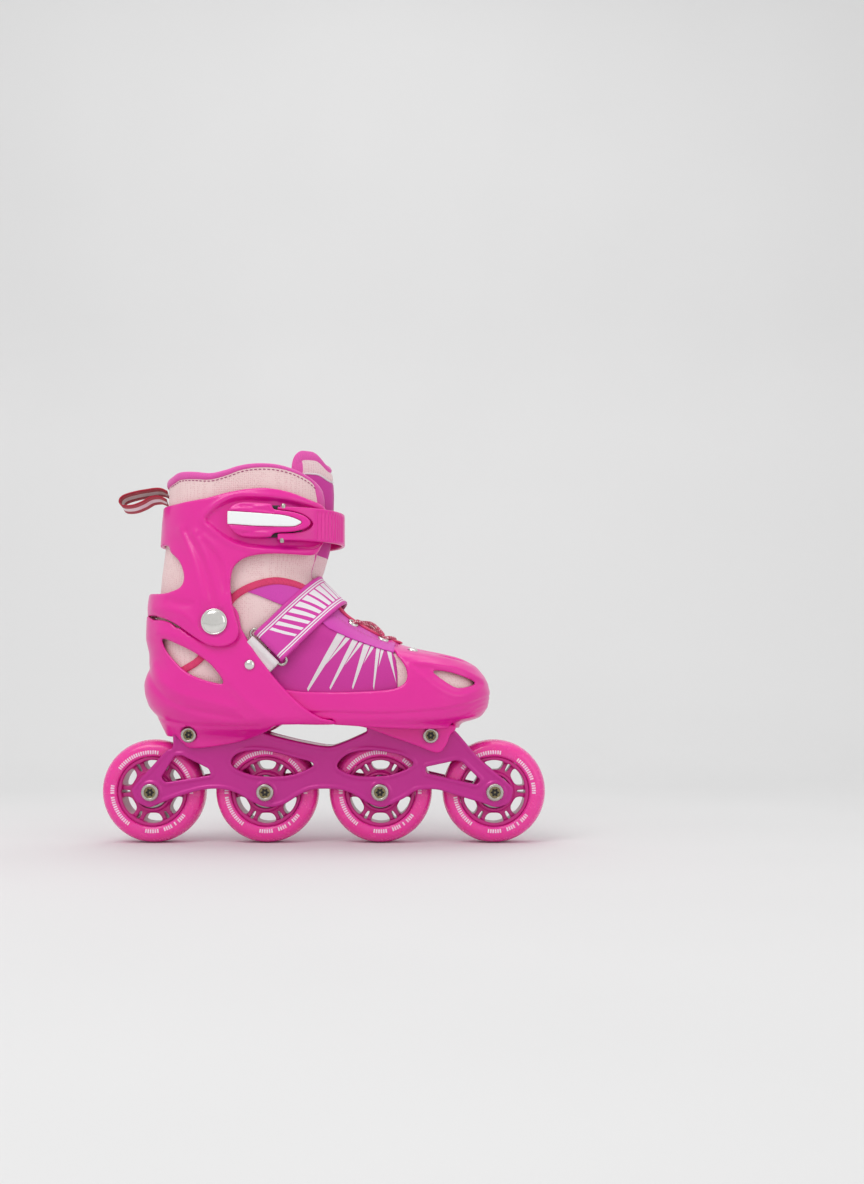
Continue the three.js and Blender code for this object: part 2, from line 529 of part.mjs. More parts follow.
// ---------------------------------------------------------------- soft boot
const tongueOutline = [
  [3, 264], [6, 260], [6.6, 247], [6.6, 227], [4.2, 198], [-0.8, 187], [-5.8, 178.6], [1.6, 168], [8, 157.6],
  [14, 147], [26, 137.6], [45, 127.4], [42, 123.4], [24, 131], [8, 141], [0, 156], [-12.4, 178], [-8.6, 190],
  [-4.4, 202], [-1.4, 227], [-3, 250], [-3, 262],
];
const TONGUE_HALF = 19;
const tongueDip = turned([[0, -40], [10, -40], [10, 40], [0, 40]], 0, 0, 16);
const dip = solid(geometryOf(tongueDip).rotateZ(Math.PI / 2).translate(0, 0, 268));
const tongueRoom = slab(
  [[9, 270], [8, 227], [6, 197], [0.6, 185.6], [-3.6, 179], [3.4, 168.6], [9.6, 158.6], [15.4, 148.4],
    [27, 138.8], [47, 128.6], [44, 121.6], [23, 129], [6, 140], [-2, 155], [-14.4, 178], [-10.6, 191],
    [-6.4, 203], [-3.4, 227], [-5, 250], [-6, 270]],
  -TONGUE_HALF - 0.7, TONGUE_HALF + 0.7,
);
const linerOuter = loft(LINER_FORM, zs(LINER_FORM, 87.4, 255));
const linerHeelOuter = loft(LINER_FORM, zs(LINER_FORM, 84.5, 255));
const linerInner = loft(LINER_FORM, zs(LINER_FORM, INSOLE.low - 0.4, 260), -LINER_WALL);
// Side-view regions of the three lengths of the soft boot.
const toeRegion = [[-52, 86], [14.6, 160.6], [14.6, 170], [130, 170], [130, 80], [-58, 80]];
const quarterRegion = [
  [-53.4, 86], [14.6, 162.2], [14.6, 176], [4, 207], [0, 205], [-25, 190], [-68.6, 175], [-130, 175], [-130, 80],
  [-59.4, 80],
];
const collarRegion = [
  [-130, 176], [-74.4, 176], [-35.1, 199.4], [-13.9, 219.5], [-10.5, 222.3], [6, 229], [4, 236], [-3, 240.4],
  [-12.9, 247], [-26.8, 251.3], [-40.7, 252.3], [-52.6, 250.9], [-62.6, 247.8], [-72.5, 245.8], [-94.3, 247.8],
  [-130, 248],
];
const soft = (outer, region) => cut(outer, linerInner).intersect(slab(region, -60, 60));
const vampSlot = box(-20, 50, -12, 12, 118, 200);
const linerToe = cut(
  soft(linerOuter, toeRegion),
  tongueRoom, vampSlot,
  box(-70, -26, -60, 60, 80, 89.9),
  box(49, 70, -60, 60, 130.9, 140),
);
put("liner_toe", linerToe, MAT.mesh);
const linerHeel = cut(
  soft(linerHeelOuter, quarterRegion),
  tongueRoom,
  box(-26, 20, -TONGUE_HALF, TONGUE_HALF, 150, 215),
  box(-52, 40, -60, 60, 80, 89.9),
  box(-60, 40, -60, 60, 80, 86.9),
);
put("liner_heel", linerHeel, MAT.mesh);
const linerCollar = cut(soft(linerOuter, collarRegion), tongueRoom, box(-26, 20, -TONGUE_HALF - 0.7, TONGUE_HALF + 0.7, 190, 260));
put("liner_collar", linerCollar, MAT.lining);
const insoleRing = (half) => {
  const list = [];
  const [, back, front] = rowAt(LINER_FORM, 91);
  for (let k = 0; k < 28; k++) {
    const a = (2 * Math.PI * k) / 28;
    const x = (back + front) / 2 + ((front - back) / 2 - LINER_WALL - 1) * Math.cos(a);
    const y = k % 14 ? Math.sign(Math.sin(a)) * halfWidth(LINER_FORM, x, 90.2, -LINER_WALL - half) : 0;
    list.push([x, y]);
  }
  return list;
};
put("insole", block(insoleRing(2.4), INSOLE.low, INSOLE.high), MAT.lining);

// ---------------------------------------------------------------- lace panel, eyelets and lace
const lacePanel = cut(
  loft(LINER_FORM, zs(LINER_FORM, 122, 156), 2.1).subtract(loft(LINER_FORM, zs(LINER_FORM, 120, 158), GAP)),
).intersect(
  slab([[13.4, 143], [15.2, 156], [64, 156], [64, 134.2], [46, 131.5], [30, 136], [18, 141]], -60, 60),
);
const toeShellRoom = loft(TOE_FORM, zs(TOE_FORM, 118, 134.6), GAP, 32, TOE_EASE);
const lacePanelTrim = cut(lacePanel, box(0, 47, -12, 12, 120, 170), toeShellRoom.intersect(box(48.6, 130, -60, 60, 100, 140)));
put("lace_panel", lacePanelTrim, MAT.synthetic);
const topAt = (x, y) => {
  let lo = 100, hi = 200;
  for (let k = 0; k < 50; k++) {
    const z = (lo + hi) / 2;
    if (halfWidth(LINER_FORM, x, z) > Math.abs(y)) lo = z;
    else hi = z;
  }
  return lo;
};
const normalAt = (x, y) => {
  const e = 0.6;
  const gx = (topAt(x + e, y) - topAt(x - e, y)) / (2 * e);
  const gy = (topAt(x, y + e) - topAt(x, y - e)) / (2 * e);
  return new THREE.Vector3(-gx, -gy, 1).normalize();
};
const EYELETS = [[19.5, -17], [19.5, 17], [40, -17], [40, 17]];
EYELETS.forEach(([x, y], i) => {
  const up = normalAt(x, y);
  const at = new THREE.Vector3(x, y, topAt(x, y)).addScaledVector(up, 2.1 + GAP);
  const g = new THREE.LatheGeometry(
    closed([[2.1, 0], [3.9, 0], [3.9, 0.6], [3.2, 1.3], [2.1, 1.1]]).map(([r, h]) => new THREE.Vector2(r, h)),
    12,
  );
  g.applyQuaternion(new THREE.Quaternion().setFromUnitVectors(new THREE.Vector3(0, 1, 0), up)).translate(at.x, at.y, at.z);
  put("eyelet_" + (i + 1), solid(g), MAT.chrome);
});
const over = (x, y, h) => {
  const p = new THREE.Vector3(x, y, topAt(x, y));
  return p.addScaledVector(normalAt(x, y), h);
};
const lacePath = new THREE.CatmullRomCurve3(
  [[17, -12, 4.2], [22, -6, 4.4], [28, 0, 4.4], [34, 7, 4.4], [41, 12.4, 4.6], [46, 9, 4.6], [47.4, 0, 4.4],
    [46, -9, 4.6], [41, -12.4, 4.6], [34, -7, 6.4], [28, 0, 8], [22, 6, 6.4], [17, 12, 4.2]].map(([x, y, h]) => over(x, y, h)),
);
put("lace", bar(lacePath.getPoints(36), 1.25, 5), MAT.lace);

// ---------------------------------------------------------------- instep strap, ring and webbing tab
const DIAG = Math.SQRT1_2; // the strap runs over the instep in a plane tilted 45 degrees
const STRAP = { low: -130, high: -104, s0: 66, top: 123.4, half: 38.8, thick: 3.2 };
const strapArc = (grow, n = 22) => {
  const list = [];
  for (let k = 0; k <= n; k++) {
    const a = Math.PI * (k / n);
    const c = Math.cos(a), s = Math.sin(a);
    list.push([
      Math.sign(c) * Math.abs(c) ** 0.86 * (STRAP.half + grow),
      STRAP.s0 + Math.abs(s) ** 0.86 * (STRAP.top + grow - STRAP.s0),
    ]);
  }
  return list;
};
// Local axes: first along Y, second along s (up and forward), third along n (forward and down).
const tilted = (outline, n0, n1) => {
  const shape = new THREE.Shape(outline.map(([y, s]) => new THREE.Vector2(y, s)));
  const g = new THREE.ExtrudeGeometry(shape, { depth: n1 - n0, bevelEnabled: false }).translate(0, 0, n0);
  const m = new THREE.Matrix4().set(0, DIAG, DIAG, 0, 1, 0, 0, 0, 0, DIAG, -DIAG, 0, 0, 0, 0, 1);
  const made = g.applyMatrix4(m);
  if (m.determinant() < 0) {
    const p = made.attributes.position;
    for (let i = 0; i < p.count; i += 3) {
      const a = [p.getX(i + 1), p.getY(i + 1), p.getZ(i + 1)];
      p.setXYZ(i + 1, p.getX(i + 2), p.getY(i + 2), p.getZ(i + 2));
      p.setXYZ(i + 2, ...a);
    }
  }
  return solid(made);
};
const strapBand = tilted([...strapArc(STRAP.thick), ...strapArc(0).reverse()], STRAP.low, STRAP.high);
const softGrown = loft(LINER_FORM, zs(LINER_FORM, 86, 250), 0.5);
const ringCentre = [68.6, -117, -40.2];
const ringPoints = (count, ds, dn) => {
  const list = [];
  for (let k = 0; k < count; k++) {
    const a = (2 * Math.PI * k) / count;
    const c = Math.cos(a), q = Math.sin(a);
    const s = ringCentre[0] + ds * Math.sign(c) * Math.abs(c) ** 0.6;
    const n = ringCentre[1] + dn * Math.sign(q) * Math.abs(q) ** 0.6;
    list.push(new THREE.Vector3(DIAG * (s + n), ringCentre[2], DIAG * (s - n)));
  }
  return list;
};
const strapRing = bar(ringPoints(18, 4.4, 15.2), 1.05, 5, true);
const ringRoom = bar(ringPoints(18, 4.4, 15.2), 1.6, 5, true);
const strapTrim = cut(
  strapBand,
  softGrown,
  tilted([[-60, 40], [-30, 40], [-30, 71.4], [-60, 71.4]], -140, -90),
  ringRoom,
  loft(HEEL_FORM, zs(HEEL_FORM, 84, 160), GAP, 28, HEEL_EASE).intersect(slab(heelOutline.map(([x, z]) => [x + 0.5, z + 0.4]), -60, 60)),
  box(-80, 40, 30, 60, 60, 118),
);
put("instep_strap", strapTrim, MAT.synthetic);
const strapRoom = tilted([...strapArc(STRAP.thick + 9), ...strapArc(-GAP).reverse()], STRAP.low - GAP, STRAP.high + GAP);
put("tongue", cut(slab(tongueOutline, -TONGUE_HALF, TONGUE_HALF), dip, strapRoom), MAT.mesh);
put("strap_ring", strapRing, MAT.steel);
put(
  "strap_tab",
  cut(slab([[-50, 124], [-44.2, 135.4], [-39.3, 136.1], [-19.7, 121], [-27.9, 111.6], [-36, 107]], -37.45, -36.5), rod(...ANCHOR, 1.9, -60, 0, 10), ringRoom),
  MAT.webbing,
);

// ---------------------------------------------------------------- pull loop and size button
const loopCurve = new THREE.CatmullRomCurve3(
  [[-108.2, 236.5], [-112, 238.4], [-118, 238], [-127, 236.4], [-135.6, 233.6], [-138.4, 230], [-136, 226.6],
    [-129.6, 226.8], [-123, 229.6], [-117.6, 232.8], [-112.6, 233.6], [-108.6, 232.2]].map(([x, z]) => new THREE.Vector3(x, 0, z)),
);
const loopMid = loopCurve.getPoints(26);
const ribbon = (points, half) => {
  const a = [], b = [];
  points.forEach((p, i) => {
    const q0 = points[Math.max(i - 1, 0)], q1 = points[Math.min(i + 1, points.length - 1)];
    const t = q1.clone().sub(q0).normalize();
    a.push([p.x - t.z * half, p.z + t.x * half]);
    b.push([p.x + t.z * half, p.z - t.x * half]);
  });
  return [...a, ...b.reverse()];
};
const collarGrown = loft(LINER_FORM, zs(LINER_FORM, 200, 255), 0.4);
const loopSolid = cut(slab(ribbon(loopMid, 0.6).reverse(), -8.5, 8.5), collarGrown, loft(CUFF_FORM, zs(CUFF_FORM, 199, 228), GAP).intersect(box(-130, 10, -60, 60, 199, 227)));
const loopPieces = loopSolid.decompose().sort((p, q) => q.volume() - p.volume());
put("pull_loop", loopPieces[0], MAT.webbing);
put(
  "size_button",
  turned([[0, 45.6], [4.2, 45.4], [5.3, 44.6], [5.3, 41.6], [0, 41.6]], ...BUTTON, 14),
  MAT.black,
);

export default group;
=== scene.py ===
import math

import bmesh
import bpy
import numpy as np
import openvdb
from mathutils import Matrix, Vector


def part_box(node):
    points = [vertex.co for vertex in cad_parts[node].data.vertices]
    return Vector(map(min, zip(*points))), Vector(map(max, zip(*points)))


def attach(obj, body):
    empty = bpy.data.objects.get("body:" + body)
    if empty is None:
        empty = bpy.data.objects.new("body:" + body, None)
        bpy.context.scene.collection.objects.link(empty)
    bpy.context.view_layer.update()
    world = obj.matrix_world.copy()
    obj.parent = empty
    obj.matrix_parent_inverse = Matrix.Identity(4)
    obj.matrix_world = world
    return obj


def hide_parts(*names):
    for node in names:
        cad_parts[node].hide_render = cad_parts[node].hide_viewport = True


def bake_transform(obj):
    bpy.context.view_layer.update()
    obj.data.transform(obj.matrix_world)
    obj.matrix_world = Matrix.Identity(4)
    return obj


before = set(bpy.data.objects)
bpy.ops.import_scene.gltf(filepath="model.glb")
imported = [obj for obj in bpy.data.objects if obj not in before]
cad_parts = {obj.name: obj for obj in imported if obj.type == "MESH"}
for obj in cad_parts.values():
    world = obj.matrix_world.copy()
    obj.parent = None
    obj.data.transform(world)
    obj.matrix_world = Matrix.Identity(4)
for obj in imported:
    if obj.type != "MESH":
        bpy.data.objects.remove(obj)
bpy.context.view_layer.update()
MM = 0.001

# ------------------------------------------------------------------ sizes shared with the frame, mm
AXLES = [1000 * sum(c[0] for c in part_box(f"tyre_{n}")) / 2 for n in (1, 2, 3, 4)]
AXLE_Z = 1000 * (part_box("tyre_1")[0][2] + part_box("tyre_1")[1][2]) / 2
PIVOT = (-68.6, 148.1)
ANCHOR = (-45.8, 120.1)
BUTTON = (-21.0, 94.5)
MOUNTS = ((-88.9, 73.7), (72.5, 73.3))
WALL = 2.8
BED_Z = 84  # top of the base under the foot
BASE_HALF = 21.5  # half-width of that base
BOLT_HOLE = 3.4  # radius of the frame's mounting holes
AXLE_HEAD = (17.45, 5.9, 2.5)  # seat, radius and height of the axle bolts' heads and nuts
SIDES = ((-1, "right"), (1, "left"))

# Body forms: height, rearmost x, foremost x, half-width over the heel, half-width over the ball.
LINER_FORM = (
    (84.4, -106, 99, 27, 32), (90, -112, 105, 31, 35.5), (98, -116.5, 109, 33.5, 36.8),
    (106, -117.5, 108, 34.6, 36.8), (113, -116.6, 104.5, 35.2, 36.4),
    (119, -114.8, 98.5, 35.6, 35.6),
    (124, -114.4, 89, 36, 34.4), (128, -114.6, 75, 36.2, 33), (131, -114.8, 60, 36.4, 32),
    (136, -115, 44, 36.6, 31.4), (144, -114.8, 29, 36.9, 30.9), (152, -114, 16.5, 37.2, 30.8),
    (160, -112.6, 9.5, 37.2, 31), (170, -111, 2.5, 37, 31.6), (180, -110.2, -6, 36.6, 32.4),
    (190, -108.8, -3, 36.4, 32.8), (200, -107.5, -0.5, 36.2, 33), (215, -106.6, 2.4, 36, 33.4),
    (230, -105.5, 3.4, 36, 33.8), (256, -105.2, 3.4, 36, 34),
)
HEEL_FORM = (
    (62, -97, 120, 20.3, 20.3), (66, -103, 120, 20.8, 20.6), (72, -107, 120, 22.6, 21.5),
    (78, -110, 120, 27, 36), (84, -112.6, 120, 31.5, 41.4), (92, -119, 120, 35.4, 42.4),
    (100, -121.8, 120, 37.2, 42.6), (108, -122.5, 120, 38.3, 42.6), (119, -118.9, 120, 39.4, 42.2),
    (128, -118.8, 120, 40.2, 42), (138, -121.2, 120, 41, 41.6), (150, -120.8, 120, 41, 41.2),
    (170, -119, 120, 41, 41.2),
)
CUFF_FORM = (
    (126, -117, 22, 44.6, 44.4), (150, -119.6, 17, 44.8, 44), (160, -120.2, 15, 44.6, 43.6),
    (170, -118.4, 12.5, 44, 43), (185, -114, 10.5, 42.6, 41.8), (200, -111.2, 9.5, 41.4, 41),
    (215, -110.4, 9, 41, 40.8), (230, -108.8, 9, 41, 40.8), (242, -107.5, 9, 41, 40.8),
)
TOE_FORM = (
    (80.9, -90, 93, 36, 38.6), (82.4, -90, 102.5, 37.6, 40.6), (85, -90, 107.8, 38.4, 41.9),
    (92, -90, 112.6, 38.8, 42.6), (98.3, -90, 113.6, 38.8, 42.6), (104.4, -90, 112.6, 38.8, 42.5),
    (112.6, -90, 109.5, 38.8, 41.6), (119.8, -90, 103.4, 38.8, 39.8),
    (125.3, -90, 93.1, 38.8, 37.4),
    (128.6, -90, 79.5, 38.8, 35.6), (131.1, -90, 65.4, 38.8, 34.4), (135, -90, 50, 38.8, 33.6),
)
EASE = {"liner": (-60, 45), "heel": (-100, -40), "cuff": (-60, 45), "toe": (0, 50)}


class Form:
    """A smooth hull given by plan sections at several heights."""

    def __init__(self, rows, ease, blur=2.0):
        self.rows, self.ease = np.array(rows, float), ease
        low, high = self.rows[0, 0] - 24, self.rows[-1, 0] + 24
        self.z = np.arange(low, high, 0.5)
        reach = np.arange(-6 * blur, 6.001 * blur, 0.5)
        kernel = np.exp(-0.5 * (reach / blur) ** 2)
        kernel /= kernel.sum()
        self.cols = []
        for k in range(1, 5):
            raw = np.interp(self.z, self.rows[:, 0], self.rows[:, k])
            pad = np.pad(raw, len(reach) // 2, mode="edge")
            self.cols.append(np.convolve(pad, kernel, mode="valid")[: len(self.z)])

    def at(self, z):
        return [np.interp(z, self.z, c) for c in self.cols]

    def half_width(self, x, z, grow=0.0):
        """Half-width at x in the plan section at height z."""
        back, front, heel, ball = self.at(z)
        t = np.clip((x - self.ease[0]) / (self.ease[1] - self.ease[0]), 0, 1)
        w = heel + (ball - heel) * t * t * (3 - 2 * t) + grow
        rear, fore = 1.08 * (heel + grow), 1.2 * (ball + grow)
        tr = np.clip((back - grow + rear - x) / rear, 0, 1)
        tf = np.clip((x - (front + grow - fore)) / fore, 0, 1)
        return w * np.sqrt(np.clip(1 - tr**2, 0, None)) * np.sqrt(np.clip(1 - tf**2.2, 0, None))

    def top(self, x, y):
        """Height at which the hull is as wide as |y| over x, on its upper side."""
        low, high = np.full(np.shape(x), 100.0), np.full(np.shape(x), 200.0)
        for _ in range(40):
            mid = (low + high) / 2
            inside = self.half_width(x, mid) > np.abs(y)
            low, high = np.where(inside, mid, low), np.where(inside, high, mid)
        return low

    def normal(self, x, y):
        e = 0.8
        gx = (self.top(x + e, y) - self.top(x - e, y)) / (2 * e)
        gy = (self.top(x, y + e) - self.top(x, y - e)) / (2 * e)
        n = np.stack([-gx, -gy, np.ones_like(gx)], -1)
        return n / np.linalg.norm(n, axis=-1, keepdims=True)


LINER = Form(LINER_FORM, EASE["liner"])
HEEL = Form(HEEL_FORM, EASE["heel"], 1.5)
CUFF = Form(CUFF_FORM, EASE["cuff"], 3.0)
TOE = Form(TOE_FORM, EASE["toe"], 1.0)


# ------------------------------------------------------------------ solids as distance fields
class Space:
    """A block of voxels from low to high in mm, with open coordinate arrays x, y and z."""

    def __init__(self, low, high, step):
        self.step = step
        self.first = np.floor(np.array(low) / step).astype(int)
        last = np.ceil(np.array(high) / step).astype(int)
        self.shape = tuple(last - self.first + 1)
        axes = [(self.first[k] + np.arange(self.shape[k])) * step for k in range(3)]
        self.x = axes[0][:, None, None]
        self.y = axes[1][None, :, None]
        self.z = axes[2][None, None, :]

    def form(self, form, band=14):
        """Signed distance to a form, in mm."""
        step, segments = 1.5, 180
        levels = np.arange(form.z[0] + 6, form.z[-1] - 6, step)
        angle = np.arange(segments) * 2 * math.pi / segments
        back, front, _, _ = form.at(levels)
        mid, reach = (back + front)[:, None] / 2, (front - back)[:, None] / 2
        x = mid + reach * np.cos(angle)
        z = np.broadcast_to(levels[:, None], x.shape)
        y = np.sign(np.sin(angle).round(9)) * form.half_width(x, z)
        points = np.stack([x, y, z], -1).reshape(-1, 3).astype(np.float32)
        n, m = len(levels), segments
        i, k = np.meshgrid(np.arange(n - 1), np.arange(m), indexing="ij")
        a, b = i * m + k, i * m + (k + 1) % m
        quads = np.stack([a, b, b + m, a + m], -1).reshape(-1, 4)
        half = np.arange(1, m // 2)
        caps = []
        for base, up in ((0, False), ((n - 1) * m, True)):
            p = np.stack(
                [base + half, base + m - half, base + (m - half - 1) % m, base + half + 1], -1
            )
            p = p[:-1]
            ends = [
                [base, base + m - 1, base + 1],
                [base + m // 2 - 1, base + m // 2 + 1, base + m // 2]
            ]
            caps.append((p if not up else p[:, ::-1], ends if not up else [e[::-1] for e in ends]))
        quads = np.concatenate([quads, caps[0][0], caps[1][0]]).astype(np.uint32)
        tris = np.array(caps[0][1] + caps[1][1], np.uint32)
        grid = openvdb.FloatGrid.createLevelSetFromPolygons(
            points, triangles=tris, quads=quads,
            transform=openvdb.createLinearTransform(voxelSize=self.step), halfWidth=float(band),
        )
        out = np.empty(self.shape, np.float32)
        grid.copyToArray(out, ijk=tuple(int(v) for v in self.first))
        return out

    def side(self, outline):
        """Distance to a closed side-view outline of (x, z) points, the same at every y."""
        d = polygon(self.x[:, 0, 0][:, None], self.z[0, 0][None, :], outline)
        return d[:, None, :]

    def plan(self, outline):
        d = polygon(self.x[:, 0, 0][:, None], self.y[0, :, 0][None, :], outline)
        return d[:, :, None]

    def side_line(self, points):
        """Distance in side view to an open line."""
        d = polyline(self.x[:, 0, 0][:, None], self.z[0, 0][None, :], points)
        return d[:, None, :]

    def box(self, x0, x1, y0, y1, z0, z1):
        q = (
            abs(self.x - (x0 + x1) / 2) - (x1 - x0) / 2,
            abs(self.y - (y0 + y1) / 2) - (y1 - y0) / 2,
            abs(self.z - (z0 + z1) / 2) - (z1 - z0) / 2,
        )
        out = np.sqrt(sum(np.maximum(v, 0) ** 2 for v in q))
        return out + np.minimum(np.maximum(np.maximum(q[0], q[1]), q[2]), 0)

    def rod(self, x, z, r):
        """Distance to an endless rod along Y."""
        return np.sqrt((self.x - x) ** 2 + (self.z - z) ** 2) - r

    def mesh(self, name, field, material):
        """The surface of a field as an object, facing out."""
        field = np.broadcast_to(field, self.shape).astype(np.float32)
        limit = 3 * self.step
        field = np.clip(field, -limit, limit)
        for axis in range(3):
            edge = [slice(None)] * 3
            for k in (0, -1):
                edge[axis] = k
                field[tuple(edge)] = limit
        grid = openvdb.FloatGrid(limit)
        grid.copyFromArray(np.ascontiguousarray(field))
        points, quads = grid.convertToQuads(0.0)
        points = (points + self.first) * self.step
        return mesh_object(name, points, quads.astype(int), material)


def polygon(x, z, outline):
    p = np.array(outline, float)
    q = np.roll(p, -1, axis=0)
    best = np.full(np.broadcast(x, z).shape, 1e9)
    inside = np.zeros(best.shape, bool)
    for (ax, az), (bx, bz) in zip(p, q):
        ex, ez = bx - ax, bz - az
        size = ex * ex + ez * ez
        if size < 1e-12:
            continue
        t = np.clip(((x - ax) * ex + (z - az) * ez) / size, 0, 1)
        best = np.minimum(best, (x - ax - t * ex) ** 2 + (z - az - t * ez) ** 2)
        if az != bz:
            crosses = (az > z) != (bz > z)
            inside ^= crosses & (x < ax + (z - az) * ex / (bz - az))
    return np.where(inside, -1, 1) * np.sqrt(best)


def polyline(x, z, points):
    p = np.array(points, float)
    best = np.full(np.broadcast(x, z).shape, 1e9)
    for (ax, az), (bx, bz) in zip(p[:-1], p[1:]):
        ex, ez = bx - ax, bz - az
        t = np.clip(((x - ax) * ex + (z - az) * ez) / (ex * ex + ez * ez), 0, 1)
        best = np.minimum(best, (x - ax - t * ex) ** 2 + (z - az - t * ez) ** 2)
    return np.sqrt(best)


def both(a, b, r=0.0):
    """Where two fields overlap, with an edge rounded to radius r."""
    if r <= 0:
        return np.maximum(a, b)
    u, v = np.maximum(a + r, 0), np.maximum(b + r, 0)
    return np.minimum(np.maximum(a, b), -r) + np.sqrt(u * u + v * v)


def either(a, b, r=0.0):
    """The join of two fields, with a fillet of radius r."""
    return -both(-a, -b, r)


def less(a, b, r=0.0):
    return both(a, -b, r)


def curve(points, closed=True, steps=6):
    """A smooth line through points, as a Catmull-Rom spline."""
    p = np.array(points, float)
    n = len(p)
    out = []
    for i in range(n if closed else n - 1):
        a, b, c, d = (
            (p[(i + k) % n] for k in (-1, 0, 1, 2))
            if closed
            else (p[min(max(i + k, 0), n - 1)] for k in (-1, 0, 1, 2))
        )
        for t in np.arange(steps) / steps:
            out.append(
                0.5 * (
                    2 * b + (c - a) * t + (2 * a - 5 * b + 4 * c - d) * t * t
                    + (3 * b - a - 3 * c + d) * t**3
                )
            )
    if not closed:
        out.append(p[-1])
    return np.array(out)


def tangents(path):
    """Unit directions along an open path."""
    t = np.gradient(path, axis=0)
    return t / np.linalg.norm(t, axis=1, keepdims=True)


def distance_along(path):
    return np.concatenate([[0], np.cumsum(np.linalg.norm(np.diff(path, axis=0), axis=1))])


def mirrored(points):
    """A plan line on one side, joined to its mirror image; its last point lies on the middle."""
    return [*points, *((x, -y) for x, y in points[-2::-1])]


def soft_step(field, width):
    """1 inside a field and 0 outside it, with a side about width wide."""
    return 1 / (1 + np.exp(np.clip(field / width, -40, 40)))


def carve(s, relief, lines):
    """Adds a ridge of each (width, height, side-view line) to a relief."""
    for width, height, line in lines:
        relief = relief + ridge(s.side_line(curve(line, False)), width, height)
    return relief


def ridge(distance, width, height):
    """A rounded line that stands proud by height, or sinks where height is negative."""
    return height * np.exp(-((distance / width) ** 2))


# ------------------------------------------------------------------ meshes
def mesh_object(name, points, faces, material, smooth=True):
    """points is an array in mm; faces is an array or a list of index lists."""
    mesh = bpy.data.meshes.new(name)
    points = np.asarray(points, float) * MM
    if isinstance(faces, np.ndarray):
        size = faces.shape[1]
        mesh.vertices.add(len(points))
        mesh.vertices.foreach_set("co", points.astype(np.float32).ravel())
        mesh.loops.add(faces.size)
        mesh.loops.foreach_set("vertex_index", faces.ravel().astype(np.int32))
        mesh.polygons.add(len(faces))
        mesh.polygons.foreach_set("loop_start", (np.arange(len(faces)) * size).astype(np.int32))
        mesh.polygons.foreach_set("loop_total", np.full(len(faces), size, np.int32))
        mesh.update(calc_edges=True)
        mesh.validate()
    else:
        mesh.from_pydata([tuple(p) for p in points], [], [list(f) for f in faces])
        mesh.validate()
    if smooth:
        mesh.polygons.foreach_set("use_smooth", np.ones(len(mesh.polygons), bool))
    obj = bpy.data.objects.new(name, mesh)
    bpy.context.scene.collection.objects.link(obj)
    for m in material if isinstance(material, (list, tuple)) else [material]:
        mesh.materials.append(m)
    return obj


def grid_faces(rows, cols, wrap_rows=False, wrap_cols=False, flip=False):
    i, k = np.meshgrid(
        np.arange(rows if wrap_rows else rows - 1), np.arange(cols if wrap_cols else cols - 1),
        indexing="ij"
    )
    i2, k2 = (i + 1) % rows, (k + 1) % cols
    f = np.stack([i * cols + k, i * cols + k2, i2 * cols + k2, i2 * cols + k], -1).reshape(-1, 4)
    return f[:, ::-1] if flip else f


def tube_faces(rows, cols, closed=False):
    """Faces of a tube of rings, with a cap on each end unless the tube closes on itself."""
    faces = [list(f) for f in grid_faces(rows, cols, wrap_rows=closed, wrap_cols=True)]
    if not closed:
        faces += [list(range(cols))[::-1], [(rows - 1) * cols + k for k in range(cols)]]
    return faces


def outward(obj, weld=True):
    """Turns every face of a closed mesh to the outside."""
    bm = bmesh.new()
    bm.from_mesh(obj.data)
    if weld:
        bmesh.ops.remove_doubles(bm, verts=bm.verts, dist=1e-7)
    bmesh.ops.recalc_face_normals(bm, faces=bm.faces)
    bm.to_mesh(obj.data)
    bm.free()
    return obj


def turned(name, profile, x, z, material, segments=64, radius_of=None):
    """A turned solid about the Y axis through (x, z), from (radius, y) points."""
    angle = np.arange(segments) * 2 * math.pi / segments
    rows = []
    for k, (r, y) in enumerate(profile):
        rr = radius_of(k, r, angle) if radius_of else np.full(segments, float(r))
        rows.append(
            np.stack(
                [x + rr * np.cos(angle), np.full(segments, float(y)), z + rr * np.sin(angle)], -1
            )
        )
    points = np.concatenate(rows)
    faces = grid_faces(len(profile), segments, wrap_cols=True)
    obj = mesh_object(name, points, faces, material)
    outward(obj)
    return obj


def sharpen(obj, angle=35):
    """Smooth shading that keeps edges sharper than angle degrees."""
    bm = bmesh.new()
    bm.from_mesh(obj.data)
    for e in bm.edges:
        if len(e.link_faces) == 2 and e.calc_face_angle(0) > math.radians(angle):
            e.smooth = False
    bm.to_mesh(obj.data)
    bm.free()
    return obj


def frames_along(path, up, closed=False):
    """Tangent, side and normal at each point of a path, with the normal kept near up."""
    p = np.asarray(path, float)
    if closed:
        t = np.roll(p, -1, 0) - np.roll(p, 1, 0)
        t /= np.linalg.norm(t, axis=1, keepdims=True)
    else:
        t = tangents(p)
    up = np.broadcast_to(np.asarray(up, float), p.shape)
    n = up - (up * t).sum(1, keepdims=True) * t
    n /= np.linalg.norm(n, axis=1, keepdims=True)
    return t, np.cross(n, t), n


